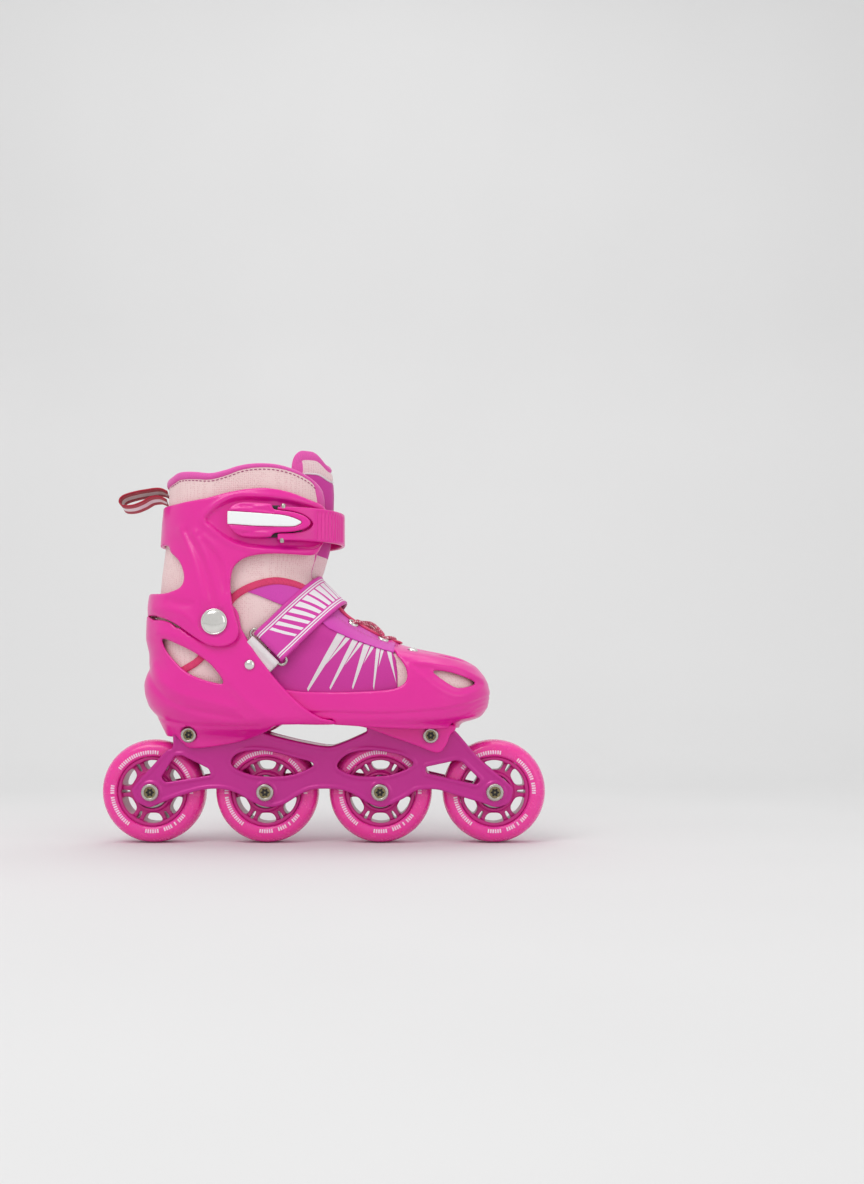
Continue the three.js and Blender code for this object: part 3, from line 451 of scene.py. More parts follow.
def sweep(name, path, section, up, material, closed=False):
    """A bar of a closed section of (side, normal) points along a path.

    Its UVs are metres along the path and across the section.
    """
    p = np.asarray(path, float)
    t, s, n = frames_along(p, up, closed)
    section = np.asarray(section, float)
    ring = p[:, None] + s[:, None] * section[None, :, 0:1] + n[:, None] * section[None, :, 1:2]
    rows, cols = ring.shape[:2]
    faces = tube_faces(rows, cols, closed)
    obj = mesh_object(name, ring.reshape(-1, 3), faces, material)
    along, across = distance_along(p), section[:, 0]
    uv = obj.data.uv_layers.new(name="UVMap")
    index = np.empty(len(obj.data.loops), np.int32)
    obj.data.loops.foreach_get("vertex_index", index)
    value = np.stack([along[index // cols] * MM, across[index % cols] * MM], -1)
    uv.data.foreach_set("uv", value.astype(np.float32).ravel())
    return outward(obj, weld=False)


def round_section(r, sides=10, flat=1.0):
    a = np.arange(sides) * 2 * math.pi / sides
    return np.stack([r * np.cos(a), r * flat * np.sin(a)], -1)


def strip_section(half, thick, edge=0.5, bulge=0.0, count=13):
    """A flat band's section from -half to half, its lower side on zero, with rounded edges."""
    x = np.linspace(-half, half, count)
    top = [(v, thick + bulge * (1 - (v / half) ** 2)) for v in x[1:-1]]
    top = [
        (-half, thick - edge), (-half + 0.3 * edge, thick - 0.3 * edge)
    ] + top + [(half - 0.3 * edge, thick - 0.3 * edge), (half, thick - edge)]
    low = [(half, edge * 0.5), (half - 0.5 * edge, 0)] + [(v, 0) for v in x[1:-1][::-1]] + [
        (-half + 0.5 * edge, 0), (-half, edge * 0.5)
    ]
    return np.array(top + low)


def stitches(name, path, up, material, length=2.2, gap=1.0, r=0.3, lift=0.0):
    """A row of raised thread stitches along a path."""
    p = np.asarray(path, float)
    t, s, n = frames_along(p, up)
    d = distance_along(p)
    points, faces = [], []
    start = gap / 2
    ends = np.array([(-0.5, 0.15), (-0.38, 0.8), (0, 1.0), (0.38, 0.8), (0.5, 0.15)])
    sides = 6
    a = np.arange(sides) * 2 * math.pi / sides
    while start + length < d[-1]:
        for along, size in ends:
            u = start + length * (along + 0.5)
            c = np.array([np.interp(u, d, p[:, k]) for k in range(3)])
            ss = np.array([np.interp(u, d, s[:, k]) for k in range(3)])
            nn = np.array([np.interp(u, d, n[:, k]) for k in range(3)])
            c = c + nn * (lift + 0.4 * r * (1 - 2 * abs(along)))
            for q in a:
                points.append(c + r * size * (ss * math.cos(q) + nn * math.sin(q)))
        base = len(points) - len(ends) * sides
        faces += [[base + int(i) for i in f] for f in tube_faces(len(ends), sides)]
        start += length + gap
    return outward(mesh_object(name, np.array(points), faces, material))


def turned_on(name, profile, point, axis, material, segments=40):
    """A turned solid standing on a surface point, from (radius, height) points along axis."""
    a = np.asarray(axis, float) / np.linalg.norm(axis)
    u = np.cross(a, (0, 1, 0) if abs(a[1]) < 0.9 else (1, 0, 0))
    u /= np.linalg.norm(u)
    v = np.cross(a, u)
    angle = np.arange(segments) * 2 * math.pi / segments
    spin = np.cos(angle)[:, None] * u + np.sin(angle)[:, None] * v
    points = np.concatenate([np.asarray(point) + h * a + r * spin for r, h in profile])
    return outward(
        mesh_object(name, points, grid_faces(len(profile), segments, wrap_cols=True), material)
    )


# ------------------------------------------------------------------ materials
def srgb(r, g, b):
    def one(c):
        c /= 255
        return c / 12.92 if c <= 0.04045 else ((c + 0.055) / 1.055) ** 2.4

    return (one(r), one(g), one(b), 1.0)


def shade(color, k):
    return (*(min(c * k, 1) for c in color[:3]), 1.0)


class Nodes:
    """Short names for building a material's node tree."""

    def __init__(self, name):
        self.material = bpy.data.materials.new(name)
        self.material.use_nodes = True
        self.tree = self.material.node_tree
        self.shader = self.tree.nodes["Principled BSDF"]

    def add(self, kind, inputs=(), **fields):
        node = self.tree.nodes.new("ShaderNode" + kind)
        for key, value in fields.items():
            setattr(node, key, value)
        for key, value in dict(inputs).items():
            self.put(node.inputs[key], value)
        return node

    def put(self, socket, value):
        if hasattr(value, "is_output"):
            self.tree.links.new(value, socket)
        else:
            socket.default_value = value

    def math(self, operation, a, b=0.0, c=0.0, clamp=False):
        node = self.tree.nodes.new("ShaderNodeMath")
        node.operation, node.use_clamp = operation, clamp
        for k, value in enumerate((a, b, c)):
            self.put(node.inputs[k], value)
        return node.outputs[0]

    def mix(self, factor, a, b):
        node = self.tree.nodes.new("ShaderNodeMix")
        node.data_type = "RGBA"
        self.put(node.inputs["Factor"], factor)
        self.put(node.inputs[6], a)
        self.put(node.inputs[7], b)
        return node.outputs[2]

    def between(self, value, low, high, soft=0.04):
        """1 where value lies from low to high, with soft sides."""
        up = self.math("DIVIDE", self.math("SUBTRACT", value, low - soft), 2 * soft, clamp=True)
        down = self.math("DIVIDE", self.math("SUBTRACT", high + soft, value), 2 * soft, clamp=True)
        return self.math("MULTIPLY", up, down)

    def coords(self, kind="Object"):
        return self.tree.nodes.new("ShaderNodeTexCoord").outputs[kind]

    def xyz(self, vector):
        node = self.add("SeparateXYZ", {"Vector": vector})
        return node.outputs

    def noise(self, vector, scale, detail=2.0, rough=0.5):
        return self.add(
            "TexNoise", {"Vector": vector, "Scale": scale, "Detail": detail, "Roughness": rough}
        ).outputs["Fac"]

    def bump(self, height, strength, distance=0.0002, normal=None):
        inputs = {"Height": height, "Strength": strength, "Distance": distance}
        if normal is not None:
            inputs["Normal"] = normal
        return self.add("Bump", inputs).outputs["Normal"]

    def finish(self, **inputs):
        for key, value in inputs.items():
            self.put(self.shader.inputs[key.replace("_", " ")], value)
        return self.material


def plastic(
    name, color, rough=0.38, coat=0.0, metal=0.0, grain=900, grain_depth=0.00003, vary=0.12, **extra
):
    """Moulded or painted surface: slight mottling, fine grain and uneven gloss."""
    n = Nodes(name)
    at = n.coords()
    cloud = n.noise(at, 22, 3)
    fine = n.noise(at, grain, 2)
    base = n.mix(cloud, shade(color, 1 - vary), shade(color, 1 + vary))
    gloss = n.math("MULTIPLY_ADD", n.noise(at, 160, 2), 0.14, rough - 0.07)
    return n.finish(
        Base_Color=base, Roughness=gloss, Metallic=metal, Coat_Weight=coat, Coat_Roughness=0.12,
        Normal=n.bump(fine, 0.35, grain_depth), **extra,
    )


def knit(name, color, hole, cell=1.5, depth=0.0002, rough=0.85, sheen=0.25, spread=0.35):
    """Open or close knitted cloth, with loops about cell mm wide."""
    n = Nodes(name)
    at = n.coords()
    wobble = n.noise(at, 60, 2)
    loops = n.add(
        "TexVoronoi", {"Vector": at, "Scale": 1000 / cell, "Randomness": spread}, feature="F1"
    ).outputs["Distance"]
    strands = n.add(
        "TexVoronoi", {"Vector": at, "Scale": 3600 / cell, "Randomness": 0.8}, feature="F1"
    ).outputs["Distance"]
    dip = n.math("SUBTRACT", 1.0, n.math("MULTIPLY", loops, 1.5, clamp=True))
    # Painted shade: the hollow in the middle of each loop, where the bump is lowest, takes the
    # darker hole colour.
    base = n.mix(
        n.math("MULTIPLY", n.math("SUBTRACT", dip, 0.35, clamp=True), 1.5, clamp=True), color, hole
    )
    base = n.mix(n.math("MULTIPLY", wobble, 0.22), base, shade(color, 0.8))
    height = n.math("SUBTRACT", n.math("MULTIPLY", strands, 0.3), dip)
    return n.finish(
        Base_Color=base, Roughness=rough, Sheen_Weight=sheen, Sheen_Roughness=0.4,
        Normal=n.bump(height, 0.8, depth),
    )


def leather(name, color, rough=0.5, cell=0.9, depth=0.00012, vary=0.15, sheen=0.1):
    """Coated synthetic with a fine pebble grain."""
    n = Nodes(name)
    at = n.coords()
    pebbles = n.add(
        "TexVoronoi", {"Vector": at, "Scale": 1000 / cell, "Randomness": 1.0},
        feature="DISTANCE_TO_EDGE"
    ).outputs["Distance"]
    cloud = n.noise(at, 45, 4)
    base = n.mix(cloud, shade(color, 1 - vary), shade(color, 1 + vary))
    # Painted shade: the creases between the pebbles, the hollows of the bump, are coloured darker.
    base = n.mix(n.math("MULTIPLY", pebbles, 1.2, clamp=True), shade(color, 0.82), base)
    return n.finish(
        Base_Color=base, Roughness=n.math("MULTIPLY_ADD", cloud, 0.16, rough - 0.08),
        Sheen_Weight=sheen,
        Normal=n.bump(n.math("MINIMUM", pebbles, 0.35), 0.6, depth),
    )


def metal(name, color, rough=0.22, brushed=500, **extra):
    n = Nodes(name)
    at = n.coords()
    stretched = n.add("Mapping", {"Vector": at, "Scale": (1.0, 0.06, 1.0)}).outputs[0]
    lines = n.noise(stretched, brushed, 3)
    worn = n.noise(at, 240, 3)
    base = n.mix(worn, shade(color, 0.82), color)
    return n.finish(
        Base_Color=base, Metallic=1.0, Roughness=n.math("MULTIPLY_ADD", lines, 0.2, rough - 0.1),
        Normal=n.bump(lines, 0.15, 0.00002), **extra,
    )


def webbing(name, color, thread, rib=0.9, stripes=()):
    """Woven tape with ribs across it; stripes are (from, to, colour) in mm across."""
    n = Nodes(name)
    u, v, _ = n.xyz(n.coords("UV"))
    along = n.math("MULTIPLY", u, 1000 * 2 * math.pi / rib)
    across = n.math("MULTIPLY", v, 1000 * 2 * math.pi / rib)
    weave = n.math("MULTIPLY", n.math("SINE", along), n.math("SINE", across))
    base = n.mix(n.math("MULTIPLY_ADD", weave, 0.3, 0.4, clamp=True), color, thread)
    side = n.math("MULTIPLY", v, 1000.0)
    for low, high, tint in stripes:
        base = n.mix(n.between(side, low, high, 0.15), base, tint)
    return n.finish(
        Base_Color=base, Roughness=0.8, Sheen_Weight=0.2, Normal=n.bump(weave, 0.6, 0.00015)
    )


PINK = srgb(232, 18, 156)
MAGENTA = srgb(196, 22, 142)


def tyre_material():
    """Cast urethane, slightly see-through, with a printed ring of plain bars."""
    n = Nodes("tyre_urethane")
    at = n.coords()
    x, y, z = n.xyz(at)
    radius = n.math(
        "MULTIPLY",
        n.math("SQRT", n.math("ADD", n.math("MULTIPLY", x, x), n.math("MULTIPLY", z, z))), 1000.0
    )
    turn = n.math("ARCTAN2", z, x)
    cell = n.math("MULTIPLY", turn, 104 / (2 * math.pi))
    bar = n.between(n.math("FRACT", cell), 0.18, 0.82, 0.06)
    kept = n.math(
        "GREATER_THAN",
        n.add(
            "TexWhiteNoise", {"W": n.math("FLOOR", cell)}, noise_dimensions="1D"
        ).outputs["Value"],
        0.1
    )
    group = n.math("GREATER_THAN", n.math("SINE", n.math("MULTIPLY", turn, 4.0)), -0.62)
    ring = n.between(radius, 25.4, 27.9, 0.12)
    ink = n.math("MULTIPLY", n.math("MULTIPLY", bar, kept), n.math("MULTIPLY", group, ring))
    cloud = n.noise(at, 90, 2)
    base = n.mix(cloud, srgb(236, 40, 154), srgb(242, 66, 168))
    rubbed = n.math(
        "MULTIPLY", ink, n.math("MULTIPLY_ADD", n.noise(at, 900, 2), 0.5, 0.6, clamp=True)
    )
    base = n.mix(rubbed, base, srgb(250, 228, 240))
    return n.finish(
        Base_Color=base, Roughness=n.math("MULTIPLY_ADD", n.noise(at, 300, 2), 0.12, 0.2),
        Coat_Weight=0.35, Coat_Roughness=0.08,
        Subsurface_Weight=0.45, Subsurface_Radius=(1.0, 0.35, 0.6), Subsurface_Scale=0.006, IOR=1.5,
        Normal=n.bump(n.noise(at, 500, 2), 0.1, 0.00003),
    )


def strap_material():
    """Printed strap: magenta with a double white border and slanted white bars that taper."""
    n = Nodes("strap_print")
    u, v, _ = n.xyz(n.coords("UV"))
    along, side = n.math("MULTIPLY", u, 1000.0), n.math("MULTIPLY", v, 1000.0)
    away = n.math("ABSOLUTE", side)
    slant = n.math(
        "MINIMUM", n.math("MAXIMUM", n.math("MULTIPLY_ADD", along, -0.02, 1.52), -0.6), 0.62
    )
    slanted = n.math("DIVIDE", n.math("MULTIPLY_ADD", side, slant, along), 6.0)
    phase = n.math("FRACT", slanted)
    share = n.math("MULTIPLY_ADD", along, 0.0085, 0.16)
    share = n.math("MINIMUM", n.math("MULTIPLY_ADD", side, 0.016, share), 0.8)
    share = n.math("MINIMUM", share, n.math("MULTIPLY_ADD", along, -0.008, 1.65))
    bars = n.math(
        "LESS_THAN", n.math("ABSOLUTE", n.math("SUBTRACT", phase, 0.5)),
        n.math("MULTIPLY", share, 0.5)
    )
    inside = n.math("LESS_THAN", away, 7.3)
    rule = n.math(
        "ADD", n.between(away, 8.1, 9.0, 0.08), n.between(away, 9.7, 10.4, 0.08), clamp=True
    )
    start = n.math(
        "MULTIPLY", n.math("GREATER_THAN", n.math("MULTIPLY_ADD", side, 0.62, along), 24.0),
        n.math("LESS_THAN", n.math("MULTIPLY_ADD", side, -0.6, along), 152.0)
    )
    ink = n.math("MAXIMUM", n.math("MULTIPLY", n.math("MULTIPLY", bars, inside), start), rule)
    at = n.coords()
    pebbles = n.add(
        "TexVoronoi", {"Vector": at, "Scale": 1300.0}, feature="DISTANCE_TO_EDGE"
    ).outputs["Distance"]
    cloud = n.noise(at, 60, 3)
    base = n.mix(cloud, srgb(206, 40, 158), srgb(222, 62, 176))
    base = n.mix(ink, base, srgb(238, 234, 238))
    return n.finish(
        Base_Color=base, Roughness=n.math("MULTIPLY_ADD", cloud, 0.12, 0.42), Coat_Weight=0.1,
        Normal=n.bump(n.math("MINIMUM", pebbles, 0.3), 0.35, 0.0001),
    )


def lace_material():
    """Round braided cord in three colours of yarn."""
    n = Nodes("lace_braid")
    u, v, _ = n.xyz(n.coords("UV"))
    a = n.math("MULTIPLY", u, 1000 * 2 * math.pi / 2.6)
    b = n.math("MULTIPLY", v, 1000 * 2 * math.pi / 1.7)
    left = n.math("SINE", n.math("ADD", a, b))
    right = n.math("SINE", n.math("SUBTRACT", a, b))
    braid = n.math("MAXIMUM", left, right)
    speck = n.noise(n.coords(), 1100, 1)
    base = n.mix(
        n.math("MULTIPLY_ADD", left, 0.5, 0.5, clamp=True), srgb(176, 30, 74), srgb(222, 70, 120)
    )
    base = n.mix(n.math("GREATER_THAN", speck, 0.6), base, srgb(246, 214, 216))
    return n.finish(
        Base_Color=base, Roughness=0.75, Sheen_Weight=0.2, Normal=n.bump(braid, 0.8, 0.0003)
    )


MAT = {
    "shell": plastic(
        "shell_plastic", PINK, 0.32, coat=0.3, vary=0.05, Subsurface_Weight=0.06,
        Subsurface_Radius=(1.0, 0.3, 0.6), Subsurface_Scale=0.003
    ),
    "frame": plastic(
        "frame_paint", MAGENTA, 0.32, coat=0.4, metal=0.3, vary=0.06, grain=1600,
        grain_depth=0.00002
    ),
    "hub": plastic("hub_plastic", srgb(196, 22, 128), 0.34, coat=0.15, vary=0.08),
    "steel": metal("bolt_steel", srgb(196, 192, 184), 0.26),
    "bearing": metal("bearing_steel", srgb(178, 176, 172), 0.2),
    "chrome": metal("rivet_chrome", srgb(238, 236, 232), 0.12, 900),
    # Painted shade for the inside of the bolts' sockets.
    "socket": metal("socket_painted_shade", srgb(150, 138, 104), 0.35),
    "black": plastic("black_plastic", srgb(34, 30, 32), 0.45, vary=0.2),
    "white": plastic("white_plastic", srgb(246, 250, 250), 0.3, coat=0.2, vary=0.02),
    # The second colour of each knit is painted shade for the hollows of its loops.
    "mesh": knit("mesh_fabric", srgb(243, 214, 213), srgb(216, 160, 168), 1.25),
    "pale": knit("tongue_fabric", srgb(240, 212, 214), srgb(214, 164, 172), 1.1),
    "lining": knit(
        "lining_fabric", srgb(206, 62, 160), srgb(150, 34, 116), 1.6, rough=0.9, sheen=0.4
    ),
    "binding": knit(
        "collar_binding", srgb(232, 88, 178), srgb(196, 48, 142), 0.7, depth=0.00012, rough=0.7,
        sheen=0.35
    ),
    "vamp": leather("vamp_synthetic", srgb(216, 42, 164), 0.48, 0.7),
    "violet": leather("violet_synthetic", srgb(226, 66, 190), 0.45, 0.8),
    "coral": knit(
        "coral_tape", srgb(224, 60, 112), srgb(176, 30, 84), 0.9, depth=0.00015, rough=0.75
    ),
    "ink": leather("print_white", srgb(240, 232, 236), 0.5, 0.8, 0.00006, 0.04),
    "thread": leather("thread_magenta", srgb(176, 28, 120), 0.6, 0.3),
    "thread_light": leather("thread_pink", srgb(232, 120, 190), 0.6, 0.3),
    "tyre": tyre_material(),
    "strap": strap_material(),
    "lace": lace_material(),
    "tab": webbing("white_webbing", srgb(244, 240, 240), srgb(222, 212, 216)),
    "loop": webbing(
        "loop_webbing", srgb(190, 28, 60), srgb(158, 20, 46), 0.8,
        ((-2.9, 2.9, srgb(240, 232, 232)),)
    ),
}
# Frame nodes that keep their own mesh.
NODE_MATERIAL = {"insole": "lining"}


def done(obj, body, slot, *nodes):
    """Puts a finished piece on its body, in place of its CAD nodes; slot is not used."""
    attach(obj, body)
    if nodes:
        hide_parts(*nodes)
    return obj


# ------------------------------------------------------------------ wheels
def wheel_hub(n, x):
    step = 0.55
    s = Space((-25, -13.5, -25), (25, 13.5, 25), step)
    r = np.sqrt(s.x**2 + s.z**2)
    side = abs(s.y)
    rim = both(both(abs(r - 22) - 1.5, side - 10.4, 0.6), 20.5 - r, 0.5)
    boss = both(r - 13.2, side - 12.2, 0.7)
    web = both(r - 22, side - 7.6 + 0.02 * (r - 12), 0.6)
    body = either(either(rim, web, 1.2), boss, 1.5)
    for k in range(6):
        mid = 60 * k + 30
        kidney = [
            polar(q, mid + a) for q,
            a in (
                (20.7, -17), (21.2, -6), (21.2, 6), (20.7, 17), (18, 18), (15.4, 13), (14.6, 0),
                (15.4, -13), (18, -18)
            )
        ]
        slot = [
            polar(q, mid + a) for q,
            a in ((20.7, 27.2), (20.9, 30), (20.7, 32.8), (16.2, 32.6), (15.4, 30), (16.2, 27.4))
        ]
        body = less(body, s.side(curve(kidney)), 0.7)
        body = less(body, s.side(curve(slot)), 0.5)
    body = less(body, r - 9)
    body = less(body, both(r - 11.2, 4.8 - side))
    hub = s.mesh(f"hub_{n}_look", body, MAT["hub"])
    hub.location = (x * MM, 0, AXLE_Z * MM)
    return hub


def polar(r, degrees):
    return (r * math.cos(math.radians(degrees)), r * math.sin(math.radians(degrees)))


TYRE_HALF_PROFILE = (
    (23.62, 10.2), (24.1, 11.1), (25.2, 11.75), (26.6, 12.0), (28.2, 11.95), (29.9, 11.65),
    (31.3, 11.0),
    (32.6, 9.9), (33.6, 8.3), (34.3, 6.4), (34.75, 4.4), (34.95, 2.4), (35.0, 0.8),
)


def tyre(n, x):
    profile = [(r, -y) for r, y in TYRE_HALF_PROFILE] + [(r, y) for r, y in TYRE_HALF_PROFILE[::-1]]
    profile = [
        tuple(p) for p in curve(profile, closed=False, steps=2)
    ] + [(23.6, 3.0), (23.6, -3.0)]
    angle = np.arange(128) * 2 * math.pi / 128
    rows = [
        np.stack([r * np.cos(angle), np.full(128, y), r * np.sin(angle)], -1) for r, y in profile
    ]
    obj = mesh_object(
        f"tyre_{n}_look", np.concatenate(rows),
        grid_faces(len(profile), 128, wrap_rows=True, wrap_cols=True), MAT["tyre"]
    )
    outward(obj)
    sharpen(obj, 50)
    obj.location = (x * MM, 0, AXLE_Z * MM)
    return obj


def bearing(name, x, s):
    profile = [
        (4.05, 5), (10.9, 5), (10.9, 11.8), (10.6, 12), (9.6, 12), (9.3, 11.6), (6.6, 11.6),
        (6.3, 11.9), (4.3, 12), (4.05, 11.8)
    ]
    obj = turned(
        name, [(r, s * y) for r, y in profile + profile[:1]], x, AXLE_Z, MAT["bearing"], 48
    )
    return sharpen(obj)


def bolt(name, x, z, side, seat, radius, height, shank, socket=3.9):
    """A round-headed bolt with a dished, six-lobed socket; shank is a list of (radius, y)."""
    top = seat + height
    profile = [
        *shank, (radius, seat), (radius, seat + 0.55 * height), (radius - 0.25, top - 0.35),
        (radius - 0.8, top),
        (socket + 0.35, top), (socket, top - 0.2), (socket - 0.25, top - 1.0),
        (socket - 0.9, top - 1.15),
        (2.5, top - 1.15), (2.4, top - 1.9), (0.7, top - 1.9), (0.6, top - 1.1), (0, top - 1.0),
    ]
    lobed = {len(profile) - 5, len(profile) - 4}

    def radius_of(k, r, angle):
        return r * (1 + 0.2 * np.cos(6 * angle)) if k in lobed else np.full(len(angle), float(r))

    obj = turned(
        name, [(r, side * y) for r, y in profile], x, z,
        [MAT["steel"], MAT["socket"], MAT["black"]], 72, radius_of
    )
    # Painted shade: inside the socket the walls and floor take the darker socket metal, and the
    # deepest groove takes black plastic.
    for f in obj.data.polygons:
        c = f.center / MM
        r = math.hypot(c.x - x, c.z - z)
        if side * c.y > top - 2.2 and side * c.y < top - 0.12 and r < socket + 0.02:
            f.material_index = 2 if side * c.y < top - 1.3 else 1
    return sharpen(obj, 40)


def wheels():
    for k, x in enumerate(AXLES):
        n = k + 1
        body = f"wheel_{n}"
        done(tyre(n, x), body, "wheel_pu", f"tyre_{n}")
        done(wheel_hub(n, x), body, "hub_plastic", f"hub_{n}")
        for s, word in SIDES:
            done(
                bearing(f"bearing_{n}_{word}_look", x, s), body, "bearing_steel",
                f"bearing_{n}_{word}"
            )
        spacer = turned(
            f"spacer_{n}_look",
            [
                (4.05, -4.7), (5.4, -4.7), (5.6, -4.5), (5.6, 4.5), (5.4, 4.7), (4.05, 4.7),
                (4.05, -4.7)
            ],
            x, AXLE_Z, MAT["bearing"], 40
        )
        done(sharpen(spacer), body, "bearing_steel", f"bearing_spacer_{n}")
        head = bolt(
            f"axle_bolt_{n}_look", x, AXLE_Z, -1, *AXLE_HEAD,
            [(0, -16.4), (2.7, -16.4), (2.9, -16.2), (2.9, -6), (3.7, -6), (3.7, AXLE_HEAD[0])]
        )
        done(head, "chassis", "bolt_steel", f"axle_bolt_{n}")
        nut = bolt(
            f"axle_nut_{n}_look", x, AXLE_Z, 1, *AXLE_HEAD,
            [(0, 16.8), (3.2, 16.8), (3.2, 6.4), (3.7, 6.4), (3.7, AXLE_HEAD[0])]
        )
        done(nut, "chassis", "bolt_steel", f"axle_nut_{n}")


# ------------------------------------------------------------------ frame
RAIL = (14.5, 17.3)
RAIL_OUTLINE = (
    (-127.8, 34.9), (-126.8, 39), (-116, 50.8), (-104.7, 63.1), (-100.6, 65.2), (-96.4, 79.6),
    (-60, 79.6),
    (-52, 76.6), (-44, 76.6), (-34.2, 73.2), (-18.1, 69.2), (-2, 66.1), (6.1, 65.7), (16.1, 69.2),
    (29.2, 75.2),
    (34, 79.6), (84, 79.6), (88.5, 76.4), (92.7, 72.2), (106.8, 56.1), (125.9, 40), (127.4, 34),
    (124.9, 27.9),
    (116.8, 24.9), (106.8, 27.9), (86.6, 33.9), (78, 36.6), (70.5, 36.9), (62.5, 35.9),
    (56.4, 31.9),
    (46.3, 26.9), (38.7, 24.9), (30.2, 27.9), (20.2, 33.9), (10.1, 36.9), (-6, 36.9), (-16.1, 32.9),
    (-26.1, 26.9), (-36.2, 24.9), (-46.3, 27.9), (-56.4, 33.9), (-66.4, 36.9), (-78.5, 36.9),
    (-94.6, 32.9),
    (-110.7, 26.9), (-116.8, 24.9), (-124.8, 28.9),
)
RAIL_EYES = (
    (
        (-61.4, 54.1), (-58.4, 60.1), (-48.3, 63.1), (-34.2, 62.1), (-18.1, 58.1), (-6, 54.1),
        (-14.1, 49), (-26.1, 46), (-42.3, 46), (-54.3, 49),
    ),
    (
        (9.7, 53.1), (16.1, 60.1), (28.2, 63.1), (42.3, 62.1), (54.4, 59.1), (60.8, 54.1),
        (52.4, 49), (40.3, 46), (24.2, 46), (14.1, 49),
    ),
)
RAIL_TRIANGLES = (
    ((-106.7, 45), (-98.6, 58.1), (-94.6, 58.5), (-77.5, 50), (-76.5, 47.6), (-104.7, 43)),
    ((70.5, 51), (89.6, 55.1), (92.7, 54.5), (104.3, 43), (102.7, 41.6), (70.5, 49)),
)
# The web follows the rails' upper edge from the rear foot to the front one.
WEB_LINE = ((-96.2, 79.6), *RAIL_OUTLINE[6:17])


def skate_frame():
    s = Space((-132, -20, 20), (132, 20, 84), 0.8)
    outline = s.side(curve(RAIL_OUTLINE, steps=4))
    holes = None
    for shape in RAIL_EYES:
        d = s.side(curve(shape, steps=4))
        holes = d if holes is None else np.minimum(holes, d)
    for shape in RAIL_TRIANGLES:
        d = s.side(shape) - 1.2
        holes = np.minimum(holes, d)
    # The rails swell to a rounded rim along every edge and dish between the rims.
    edge = np.minimum(-outline, holes)
    outer = RAIL[1] - 0.8 * (1 - np.exp(-((np.maximum(edge - 1.5, 0) / 1.2) ** 2)))
    side = abs(s.y)
    slab = np.maximum(side - outer, RAIL[0] - side)
    rails = both(slab, both(outline, -holes, 0.4), 0.8)
    web = both(polyband(s, WEB_LINE, 2.6), side - 15.4, 0.3)
    body = either(rails, web, 1.5)
    for x in AXLES:
        r = np.sqrt((s.x - x) ** 2 + (s.z - AXLE_Z) ** 2)
        body = either(
            body,
            both(both(r - 5.4 - 0.5 * np.clip(side - 12.35, 0, 2.7), 12.35 - side, 0.3), side - 15),
            0.4
        )
        body = either(body, both(both(r - 7.6, side - RAIL[1], 0.5), 15 - side), 0.8)
    for x in AXLES:
        body = less(body, s.rod(x, AXLE_Z, 4.1))
    for x, z in MOUNTS:
        body = less(body, s.rod(x, z, BOLT_HOLE))
    return done(s.mesh("frame_look", body, MAT["frame"]), "chassis", "frame_paint", "frame")


def polyband(s, line, thick):
    """A plate that hangs thick below a side-view line."""
    low = [(x, z - thick) for x, z in line]
    return s.side(list(line) + low[::-1])


# ------------------------------------------------------------------ moulded shells
def lobe_points():
    return [
        (
            PIVOT[0] + 16.4 * math.cos(math.radians(a)), PIVOT[1] + 15.5 * math.sin(math.radians(a))
        ) for a in range(150, -1, -25)
    ]


HEEL_OUTLINE = [
    (-130, 62.6), (-130, 149.6), (-112, 150.3), (-104, 149.6), (-98, 147.6), (-92.4, 144.6),
    *lobe_points(), (-51.5, 144),
    (-49.6, 140.8), (-42.7, 129), (-33.9, 117.2), (-24, 105.4), (-12.2, 93.6), (-0.4, 85.7),
    (7.5, 83.9),
    (7.5, 80.8), (-26, 80.8), (-35.8, 76.4), (-43.7, 72.9), (-55.5, 69), (-71.3, 66), (-85, 64.4),
    (-92.9, 63.6),
    (-100, 64.6),
]
HEEL_WINDOW = (
    (-104.5, 137.5), (-93.3, 133.4), (-82.4, 128.1), (-72.6, 121.2), (-65.7, 113.3), (-63.5, 107.9),
    (-71.6, 109.1), (-81.4, 112.3), (-89.3, 116.6), (-97.5, 124.1), (-103, 131),
)
FRONT_FOOT = (
    (22.3, 81), (31.4, 77.9), (46.4, 72.3), (62.5, 66.7), (72.5, 62.7), (78.5, 61.9), (82.5, 66.3),
    (85.2, 73.3),
    (85.6, 81),
)
UNDER_CUFF = (
    (-93, 144.6), (-83, 138), (-74, 132.4), (-64.5, 130.4), (-56, 132.6), (-51, 139), (-50, 170),
    (-93, 170)
)
CHANNEL = ((-126, 56), (-126, 72.2), (-99.4, 72.2), (-97, 80.4), (100, 80.4), (100, 56))


